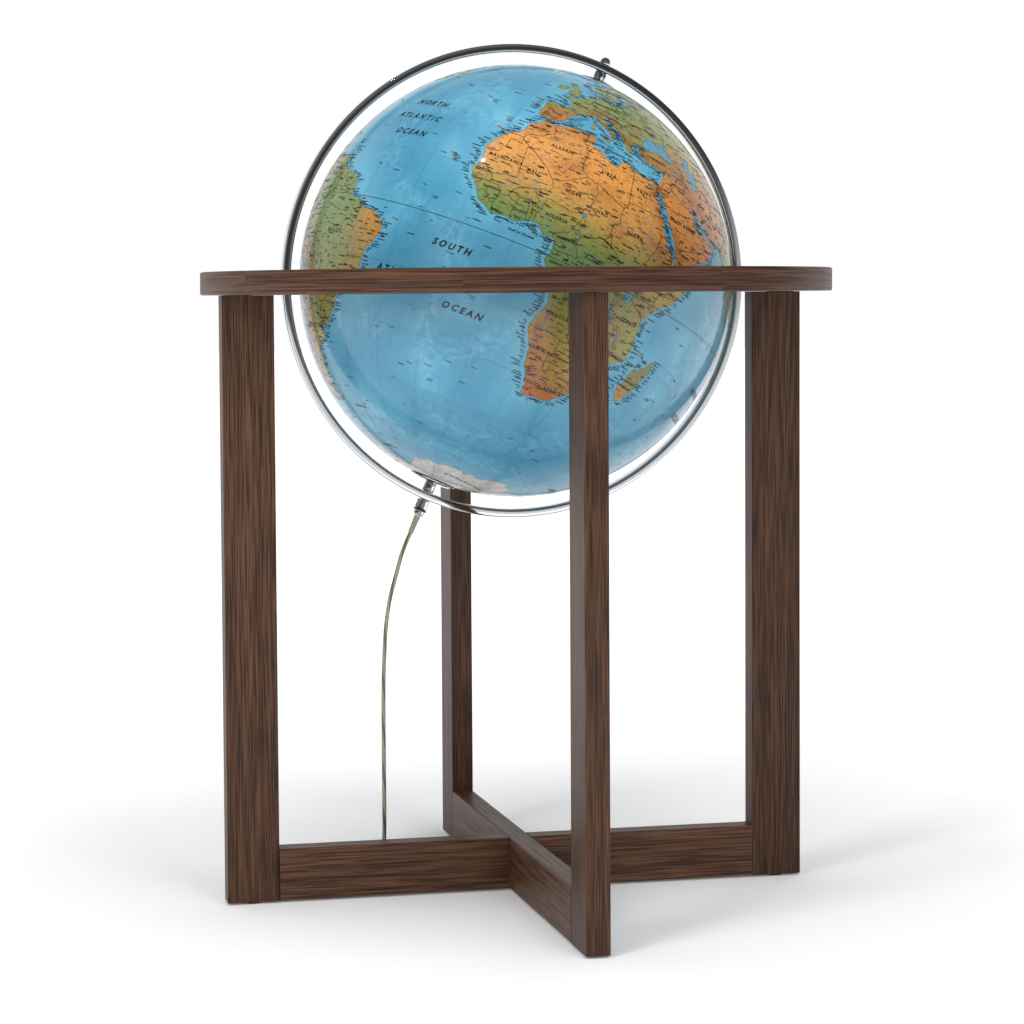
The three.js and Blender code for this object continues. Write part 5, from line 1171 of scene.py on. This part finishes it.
def land_material():
    t = Tree("printed_land")
    tint = t.attribute("tint").outputs["Color"]
    relief = t.attribute("relief").outputs["Fac"]
    broad = t.noise(t.coords(), 26, detail=5, roughness=0.6, distortion=0.8)
    crags = t.noise(t.coords(), 85, detail=6, roughness=0.72, distortion=2.2)
    color = t.mix(t.span(broad, 0.38, 0.62, 0.0, 0.3), tint, t.mix(0.4, tint, rgb("c98a48")))
    color = t.mix(t.span(broad, 0.5, 0.7, 0.0, 0.35), color, t.mix(0.6, color, rgb("5f7d44")))
    height = t.maths("MULTIPLY", relief, t.span(crags, 0.36, 0.60, 0.25, 1.0), clamp=True)
    color = t.mix(t.maths("MULTIPLY", height, 0.8), color, rgb("9a4f2c"))
    shade = t.maths("MULTIPLY", t.span(crags, 0.55, 0.62), t.span(relief, 0.15, 0.7, 0.05, 0.65))
    color = t.mix(shade, color, rgb("4f2f20"))
    color = t.mix(t.span(crags, 0.3, 0.5, 0.4, 0.0), color, rgb("4a3a20"))
    color = t.mix(1.0, color, rgb("f0eee8"), "MULTIPLY")
    speckle = t.noise(t.coords(), 260, detail=3, roughness=0.7)
    color = t.mix(t.span(speckle, 0.34, 0.5, 0.35, 0.0), color, rgb("3f3018"))
    return varnished(t, color, 0.38, t.maths("MULTIPLY", crags, relief))


def ink(name, color):
    t = Tree(name)
    cloud = t.noise(t.coords(), 60, detail=2)
    shade = tuple(c * 0.8 for c in rgb(color)[:3]) + (1.0,)
    return t.finish(t.mix(cloud, shade, rgb(color)), 0.4, 0.0)


OCEAN, LAND_PRINT = ocean_material(), land_material()
INNER = plastic("shell_inside", "e4e2dc", 0.5)


def half_shell(name, lonlat, faces, kinds, data):
    """One moulded half shell: the printed skin outside, white inside, joined at its rims."""
    used, local = np.unique(faces, return_inverse=True)
    where = unit(lonlat[used])
    seam = {}
    weld = np.arange(len(used))
    for k, spot in enumerate(np.round(where, 6)):
        weld[k] = seam.setdefault(tuple(spot), k)
    local = weld[local.reshape(-1, 3)]
    keep = (local[:, 0] != local[:, 1]) & (local[:, 1] != local[:, 2]) & (local[:, 2] != local[:, 0])
    local, kinds = local[keep], kinds[keep]
    a, b, c = (where[local[:, k]] for k in range(3))
    flip = (np.cross(b - a, c - a) * a).sum(1) < 0
    local[flip] = local[flip][:, ::-1]
    count = len(used)
    points = np.concatenate([where * GLOBE_R, where * (GLOBE_R - SHELL_T)]) + np.array(CENTRE)
    sides = {}
    for x, y, z in local:
        for edge in ((x, y), (y, z), (z, x)):
            sides[edge] = sides.get(edge, 0) + 1
    rim = [(y, x, x + count, y + count) for (x, y) in sides if (y, x) not in sides]
    polygons = [tuple(f) for f in local] + [tuple(f) for f in local[:, ::-1] + count] + rim
    mesh = bpy.data.meshes.new(name)
    mesh.from_pydata(points.tolist(), [], [tuple(int(v) for v in p) for p in polygons])
    obj = linked(name, mesh)
    for material in (OCEAN, LAND_PRINT, INNER):
        mesh.materials.append(material)
    mesh.polygons.foreach_set("material_index",
                              [int(k) for k in kinds] + [2] * (len(local) + len(rim)))
    mesh.polygons.foreach_set("use_smooth", [True] * len(polygons))
    mesh.update()
    loop_vertex = np.empty(len(mesh.loops), int)
    mesh.loops.foreach_get("vertex_index", loop_vertex)
    radial = np.concatenate([where, -where])[loop_vertex]
    rim_from = 6 * len(local)  # two skins of triangles come before the rim
    flats = np.repeat([tuple(p.normal) for p in mesh.polygons[2 * len(local):]], 4, axis=0)
    if len(flats):
        radial[rim_from:] = flats
    mesh.normals_split_custom_set(radial.tolist())
    tint, relief, depth, ridge = (part[used] for part in data)
    color = mesh.attributes.new("tint", "FLOAT_COLOR", "POINT")
    full = np.concatenate([tint, np.ones((count, 1))], 1)
    color.data.foreach_set("color", np.concatenate([full, full]).ravel())
    for key, values in (("relief", relief), ("depth", depth), ("ridge", ridge)):
        layer = mesh.attributes.new(key, "FLOAT", "POINT")
        layer.data.foreach_set("value", np.concatenate([values, values]))
    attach(obj, "globe")
    return obj


lonlat, triangles = map_triangles()
middles = lonlat[triangles].mean(1)
is_land = np.zeros(len(triangles), bool)
for outline in LAND:
    is_land |= inside(middles, outline)
for outline in WATER:
    is_land &= ~inside(middles, outline)
facing = unit(lonlat)
axle = np.array(AXIS)
off_axle = np.linalg.norm(np.cross(facing, axle), axis=1) * GLOBE_R
clear = (off_axle[triangles] > POLE_HOLE_R).all(1)
map_data = map_attributes(lonlat)
northern = middles[:, 1] > 0
for name, part in (("globe_skin_north", clear & northern), ("globe_skin_south", clear & ~northern)):
    shell = half_shell(name, lonlat, triangles[part], is_land[part].astype(int), map_data)
    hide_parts("globe_north" if "north" in name else "globe_south")


# ---------------------------------------------------------------- printed lines and names


class Print:
    """Collects flat printed shapes that lie on the sphere, and makes one piece of them."""

    def __init__(self):
        self.points, self.faces = [], []

    def ribbon(self, line, width_mm):
        """A line of even width through longitudes and latitudes."""
        where = unit(line)
        ahead = np.gradient(where, axis=0)
        side = np.cross(where, ahead)
        side /= np.linalg.norm(side, axis=1)[:, None]
        first = len(self.points)
        half = width_mm / 2 * MM
        for spot, across in zip(where, side):
            self.points += [spot * (GLOBE_R + PRINT_LIFT) + across * half,
                            spot * (GLOBE_R + PRINT_LIFT) - across * half]
        for k in range(len(line) - 1):
            low = first + 2 * k
            self.faces.append((low, low + 2, low + 3, low + 1))

    def patch(self, lon, lat, flat_points, faces, lift=PRINT_LIFT):
        """Flat shape in mm, x to the east and y to the north, laid on the sphere at a place."""
        first = len(self.points)
        scale = math.degrees(MM / GLOBE_R)
        x, y = np.array(flat_points).T
        spots = np.stack([lon + x * scale / math.cos(math.radians(lat)), lat + y * scale], -1)
        self.points += list(unit(spots) * (GLOBE_R + lift))
        self.faces += [tuple(first + i for i in face) for face in faces]

    def greek(self, lon, lat, letters, height=0.95, align=0.5, dot=0.0):
        """A word of unreadable marks, as small names look from a step away."""
        shapes, faces = [], []
        x = -align * letters * height * 0.72
        if dot:
            shapes += [(-dot, -dot), (dot, -dot), (dot, dot), (-dot, dot)]
            faces.append((0, 1, 2, 3))
            x += dot + 0.5
        for k in range(letters):
            wide = height * rng.uniform(0.3, 0.52)
            tall = height * (1.0 if k == 0 or rng.random() < 0.3 else 0.72)
            low = -height * 0.2 if rng.random() < 0.12 else 0.0
            base = len(shapes)
            shapes += [(x, low - height / 2), (x + wide, low - height / 2), (x + wide, tall - height / 2),
                       (x, tall - height / 2)]
            faces.append((base, base + 1, base + 2, base + 3))
            x += wide + height * 0.17
        self.patch(lon, lat, shapes, faces)

    def piece(self, name, material):
        """Makes the piece, facing outwards as the vote of its first faces says."""
        mesh = bpy.data.meshes.new(name)
        points = np.array(self.points) + np.array(CENTRE)
        mesh.from_pydata(points.tolist(), [], self.faces)
        mesh.validate()
        mesh.update()
        obj = linked(name, mesh)
        inward = sum(1 for p in mesh.polygons[:200] if p.normal.dot(p.center - CENTRE) < 0)
        if inward > 100:
            mesh.flip_normals()
        return put(obj, "globe", material)


GRID_W, EQUATOR_W, TICK_W, FRONTIER_W, RIVER_W, SHORE_W = 0.34, 0.75, 0.4, 0.6, 0.45, 0.34  # mm
TROPIC, POLAR_CIRCLE = 23.44, 66.56
STRAIGHT_FROM = 5.2  # a stretch of frontier longer than this, in degrees, is a ruled line


def parallel(lat):
    return [(lon, lat) for lon in np.arange(-180, 181, GRID_STEP)]


def roughened(line, rough, straight_from=math.inf):
    """The line with its stretches made uneven, but for those longer than straight_from."""
    detailed = [line[0]]
    for p, q in zip(line, line[1:]):
        straight = math.hypot(q[0] - p[0], q[1] - p[1]) > straight_from
        detailed += jagged(p, q, 0.0 if straight else rough)
    return detailed


grid = Print()
for lon in range(-180, 180, 15):
    end = 82 if lon % 90 else 84
    grid.ribbon([(lon, lat) for lat in np.arange(-end, end + 1, 2)], GRID_W)
for lat in range(-75, 90, 15):
    if lat:
        grid.ribbon(parallel(lat), GRID_W)
for lat in (TROPIC, -TROPIC, POLAR_CIRCLE, -POLAR_CIRCLE):
    for lon in range(-180, 180, 3):
        grid.ribbon([(lon, lat), (lon + 1.7, lat)], GRID_W)
grid.piece("graticule", ink("grid_ink", "2f6f8c"))

equator = Print()
equator.ribbon(parallel(0), EQUATOR_W)
for lon in range(-180, 180, 5):
    equator.ribbon([(lon, -0.28), (lon, 0.28)], TICK_W)
equator.piece("equator_line", ink("equator_ink", "28404c"))

frontiers = Print()
for line in BORDERS:
    frontiers.ribbon(along_line(roughened(line, 0.1, STRAIGHT_FROM), 1.5), FRONTIER_W)
frontiers.piece("frontiers", ink("frontier_ink", "2c2118"))

streams = Print()
for line in RIVERS:
    streams.ribbon(roughened(line, 0.16), RIVER_W)
streams.piece("rivers", ink("river_ink", "4f8fae"))

shores = Print()
for outline in LAND + WATER:
    open_line = [p for p in outline if abs(p[1]) < SEAM_LAT]
    if len(open_line) > 2:
        shores.ribbon(open_line + ([open_line[0]] if len(open_line) == len(outline) else []), SHORE_W)
shores.piece("shore_lines", ink("shore_ink", "33423d"))


def name_shape(text, size, spacing, slant, weight=0.028):
    """Flat letters in mm, centred, from the built-in typeface."""
    curve = bpy.data.curves.new("name", "FONT")
    curve.body, curve.size, curve.space_character, curve.shear = text, size, spacing, slant
    curve.align_x, curve.align_y, curve.resolution_u = "CENTER", "CENTER", 2
    curve.offset = weight * size
    obj = linked("name", curve)
    bpy.context.view_layer.update()
    mesh = bpy.data.meshes.new_from_object(obj.evaluated_get(bpy.context.evaluated_depsgraph_get()))
    points = [(v.co.x, v.co.y) for v in mesh.vertices]
    faces = [tuple(p.vertices) for p in mesh.polygons]
    bpy.data.objects.remove(obj)
    bpy.data.curves.remove(curve)
    bpy.data.meshes.remove(mesh)
    return points, faces


OCEAN_NAMES = [(text, lon, lat, size, spacing) for size, spacing, entries in (
    (10.5, 1.5, (("NORTH", -44, 31), ("ATLANTIC", -44, 25.5), ("OCEAN", -42, 20), ("SOUTH", -14, -6.5),
                 ("ATLANTIC", -25, -16.5), ("OCEAN", -6, -20.5), ("INDIAN", 80, -12), ("OCEAN", 80, -20),
                 ("NORTH PACIFIC OCEAN", -175, 24), ("SOUTH PACIFIC OCEAN", -130, -24),
                 ("NORTH PACIFIC", -138, 33), ("SOUTH PACIFIC", 172, -27), ("ARCTIC OCEAN", 150, 79),
                 ("SOUTHERN OCEAN", 105, -58), ("SOUTHERN OCEAN", -120, -60))),
    (4.4, 1.15, (("Mediterranean Sea", 18.5, 34.3), ("Arabian Sea", 64, 15), ("Bay of Bengal", 88.5, 14),
                ("Caribbean Sea", -75, 15), ("Gulf of Mexico", -91, 25), ("Gulf of Guinea", 1, 2.6),
                ("Bay of Biscay", -6, 45.5), ("Norwegian Sea", 3, 67), ("Barents Sea", 42, 73.5),
                ("Kara Sea", 70, 74.5), ("Bering Sea", -178, 58), ("Tasman Sea", 161, -39),
                ("Coral Sea", 154, -17), ("South China Sea", 114, 13), ("Sea of Japan", 135, 40),
                ("Labrador Sea", -53, 58), ("Scotia Sea", -48, -57), ("Weddell Sea", -44, -71),
                ("Mozambique Channel", 40.5, -21), ("Hudson Bay", -85, 60))))
    for text, lon, lat in entries]
LAND_NAMES = [(text, lon, lat, size, spacing) for size, spacing, entries in (
    (5.4, 1.3, (("ALGERIA", 2.6, 28.5), ("MALI", -2.2, 19), ("NIGER", 9.6, 17.6), ("CHAD", 18, 15.6),
                ("LIBYA", 17.4, 27), ("EGYPT", 29, 26.6), ("SUDAN", 29, 14), ("MAURITANIA", -10.4, 19.8),
                ("NIGERIA", 7.8, 9.6), ("ETHIOPIA", 39.6, 8.4), ("CONGO", 23.6, -3), ("ANGOLA", 17.6, -12.6),
                ("NAMIBIA", 17, -22), ("SOUTH AFRICA", 23.4, -30.8), ("TANZANIA", 34.6, -6.6),
                ("SAUDI ARABIA", 44.6, 23.6), ("IRAN", 54, 32.6), ("TURKEY", 34, 38.9))),
    (4.2, 1.1, (("MOROCCO", -6, 32.2), ("TUNISIA", 9.2, 34.3), ("SENEGAL", -14.4, 15), ("GUINEA", -10.8, 11),
                ("GHANA", -1.2, 7.8), ("CAMEROON", 12.6, 5.4), ("GABON", 11.8, -1), ("KENYA", 37.8, .6),
                ("SOMALIA", 46, 4.8), ("ZAMBIA", 26.4, -14.6), ("BOTSWANA", 23.6, -22.2), ("ZIMBABWE",
                29.6, -19),
                ("MOZAMBIQUE", 36.6, -15.6), ("MADAGASCAR", 46.6, -19.6), ("UGANDA", 32.4, 1.6),
                ("SPAIN", -3.8, 39.9), ("FRANCE", 2.4, 46.8), ("ITALY", 12.8, 42.9), ("GERMANY", 10.4, 51.2),
                ("POLAND", 19.4, 52.2), ("UKRAINE", 31.6, 49), ("SWEDEN", 15.4, 62.4), ("NORWAY", 8.8, 61.2),
                ("FINLAND", 26, 63), ("IRAQ", 43.6, 33), ("YEMEN", 47, 15.6), ("OMAN", 56.6, 20.8),
                ("PAKISTAN", 68, 29.6), ("NEPAL", 84, 28.3), ("THAILAND", 101.4, 15.4), ("VIETNAM",
                107.6, 12.6),
                ("JAPAN", 138, 36.4), ("KOREA", 127.8, 36.4), ("CUBA", -79, 21.9), ("VENEZUELA", -65.6, 7.4),
                ("COLOMBIA", -73.4, 4), ("ECUADOR", -78.4, -1.2), ("PERU", -75, -9.6), ("BOLIVIA",
                -64.6, -17),
                ("CHILE", -70.6, -28), ("PARAGUAY", -58.8, -23.4), ("URUGUAY", -56, -32.8))),
    (7.0, 1.5, (("BRAZIL", -53, -10), ("ARGENTINA", -65, -35), ("RUSSIA", 96, 61), ("CHINA", 103, 34.6),
                ("INDIA", 78.6, 22.4), ("KAZAKHSTAN", 67, 48.4), ("MONGOLIA", 103, 46.6), ("CANADA",
                -105, 57),
                ("UNITED STATES", -98, 39.4), ("MEXICO", -103.4, 25), ("GREENLAND", -41, 73),
                ("AUSTRALIA", 134, -24.4), ("INDONESIA", 113.6, -.8), ("ANTARCTICA", 40, -76),
                ("ANTARCTICA", -110, -79)))) for text, lon, lat in entries]
names = Print()
for entries, slant in ((OCEAN_NAMES, 0.3), (LAND_NAMES, 0.0)):
    for text, lon, lat, size, spacing in entries:
        flat, faces = name_shape(text, size, spacing, slant)
        names.patch(lon, lat, flat, faces, lift=2 * PRINT_LIFT)

# Unreadable small names: along the coasts, then at random over land and sea, then at the islets.
small = Print()
for outline in (AFRICA, EURASIA, NORTH_AMERICA, SOUTH_AMERICA, MADAGASCAR, AUSTRALIA):
    line = along_line(outline + outline[:1], 1.35)
    for p, q in zip(line, line[1:]):
        if abs(p[1]) > 66 or rng.random() < 0.1:
            continue
        heading = Vector((q[0] - p[0], q[1] - p[1])).normalized()
        sea = Vector((-heading.y, heading.x))
        lon, lat = p[0] + sea.x * 0.55, p[1] + sea.y * 0.55
        letters = rng.randint(5, 12)
        align = 0.0 if sea.x > 0.25 else 1.0 if sea.x < -0.25 else 0.5
        small.greek(lon, lat, letters, height=1.6, align=align)
        if rng.random() < 0.5:
            small.greek(lon, lat - 0.55, max(4, letters - 3), height=1.3, align=align)
areas = np.abs(np.cos(np.radians(middles[:, 1]))) * (
    np.abs(np.cross(lonlat[triangles[:, 1]] - lonlat[triangles[:, 0]],
                    lonlat[triangles[:, 2]] - lonlat[triangles[:, 0]])))
named_land = is_land & (np.abs(middles[:, 1]) < 66)
for wanted, count, low, high in ((named_land, 2600, 4, 10), (~is_land, 300, 5, 10)):
    share = areas * wanted
    order = np.cumsum(share) / share.sum()
    for _ in range(count):
        lon, lat = middles[np.searchsorted(order, rng.random())]
        small.greek(lon + rng.uniform(-0.6, 0.6), lat + rng.uniform(-0.4, 0.4), rng.randint(low, high),
                    height=rng.choice((1.1, 1.3, 1.6)), align=0.0, dot=rng.choice((0.3, 0.45)))
for lon, lat in DOTS:
    for row in range(rng.randint(1, 3)):
        small.greek(lon + 0.6, lat - 0.1 - 0.6 * row, rng.randint(5, 10), height=1.4, align=0.0)
names.piece("map_names", ink("name_ink", "121212"))
small.piece("map_small_names", ink("small_ink", "161514"))

# ---------------------------------------------------------------- studio


def stage():
    """White floor. It glows more with distance, so that it joins the background without an edge."""
    half, level = 30.0, -0.0005
    corners = ((-half, -half), (half, -half), (half, half), (-half, half))
    floor = mesh_object("floor", [(x, y, level) for x, y in corners], [(0, 1, 2, 3)])
    t = Tree("studio_floor")
    cloud = t.noise(t.coords(), 2, detail=2)
    away = t.add("ShaderNodeVectorMath", {0: t.coords()}, operation="LENGTH").outputs["Value"]
    ahead = t.add("ShaderNodeSeparateXYZ", {0: t.coords()}).outputs["Y"]
    glow = t.maths("MULTIPLY", t.span(away, 0.6, 2.8, 0.1, 0.95), t.span(ahead, -3.2, -1.7, 0.75, 1.0))
    floor.data.materials.append(t.finish(t.mix(cloud, rgb("f6f6f6"), rgb("fafafa")), 0.9, 0.0,
                                         Emission_Color=rgb("ffffff"), Emission_Strength=glow,
                                         Specular_IOR_Level=0.0))


def sky():
    """Pale surround, darker to the sides and overhead so that the chrome has something to show."""
    world = bpy.data.worlds.new("studio")
    bpy.context.scene.world = world
    world.use_nodes = True
    tree = world.node_tree
    links = tree.links
    at = tree.nodes.new("ShaderNodeTexCoord").outputs["Generated"]
    split = tree.nodes.new("ShaderNodeSeparateXYZ")
    links.new(at, split.inputs[0])

    def ramp(source, low, high, stops):
        span = tree.nodes.new("ShaderNodeMapRange")
        links.new(source, span.inputs["Value"])
        span.inputs["From Min"].default_value = low
        span.inputs["From Max"].default_value = high
        node = tree.nodes.new("ShaderNodeValToRGB")
        links.new(span.outputs["Result"], node.inputs["Fac"])
        while len(node.color_ramp.elements) < len(stops):
            node.color_ramp.elements.new(0.5)
        for element, (place, level) in zip(node.color_ramp.elements, stops):
            element.position = place
            element.color = (level, level, level, 1)
        return node.outputs["Color"]

    height = ramp(split.outputs["Z"], -1, 1, ((0.0, 0.8), (0.5, 1.0), (0.62, 1.0), (0.76, 0.6), (0.88, 0.3),
                                              (1.0, 0.5)))
    depth = ramp(split.outputs["Y"], -1, 1, ((0.0, 0.85), (0.22, 0.5), (0.36, 0.08), (0.55, 0.08),
                                             (0.66, 0.9), (0.75, 1.0)))
    slope = tree.nodes.new("ShaderNodeMath")
    slope.operation = "MULTIPLY_ADD"
    slope.inputs[1].default_value = -0.5
    links.new(split.outputs["X"], slope.inputs[0])
    links.new(split.outputs["Z"], slope.inputs[2])
    front = ramp(slope.outputs[0], -0.62, 0.38, ((0.0, 0.8), (0.44, 0.8), (0.47, 0.55), (0.51, 0.1),
                                                 (0.6, 0.05), (0.8, 0.3), (1.0, 0.6)))
    behind = ramp(split.outputs["Y"], -1, 1, ((0.0, 1.0), (0.15, 1.0), (0.3, 0.0), (1.0, 0.0)))

    def joined(kind, factor, first, second):
        node = tree.nodes.new("ShaderNodeMix")
        node.data_type, node.blend_type = "RGBA", kind
        for socket, value in zip((0, 6, 7), (factor, first, second)):
            if hasattr(value, "node"):
                links.new(value, node.inputs[socket])
            else:
                node.inputs[socket].default_value = value
        return node.outputs[2]

    facing = joined("MIX", behind, (1, 1, 1, 1), front)
    color = joined("MULTIPLY", 1.0, joined("MULTIPLY", 1.0, height, depth), facing)
    background = next(n for n in tree.nodes if n.type == "BACKGROUND")
    links.new(color, background.inputs["Color"])
    background.inputs["Strength"].default_value = 1.0


def softbox(name, place, target, width, height, power, mirrored=False):
    """Area light in watts. Only a mirrored one shows in reflections."""
    data = bpy.data.lights.new(name, "AREA")
    data.shape, data.size, data.size_y, data.energy = "RECTANGLE", width, height, power
    lamp = linked(name, data)
    direction = Vector(target) - Vector(place)
    lamp.matrix_world = Matrix.Translation(place) @ direction.to_track_quat("-Z", "Y").to_matrix().to_4x4()
    lamp.visible_glossy = mirrored


stage()
sky()
softbox("overhead", (0.0, -0.4, 3.2), (0, 0, 0.4), 2.6, 2.6, 68)
softbox("key_left", (-2.6, -2.2, 1.9), (0, 0, 0.6), 1.1, 1.8, 56)
softbox("front", (0.9, -3.4, 1.7), (0, 0, 0.75), 1.6, 1.2, 36)
softbox("glint", (-0.9, -1.0, 3.2), CENTRE, 0.07, 0.07, 2.0, True)
bpy.context.scene.view_settings.view_transform = "Standard"
bpy.context.scene.view_settings.look = "None"
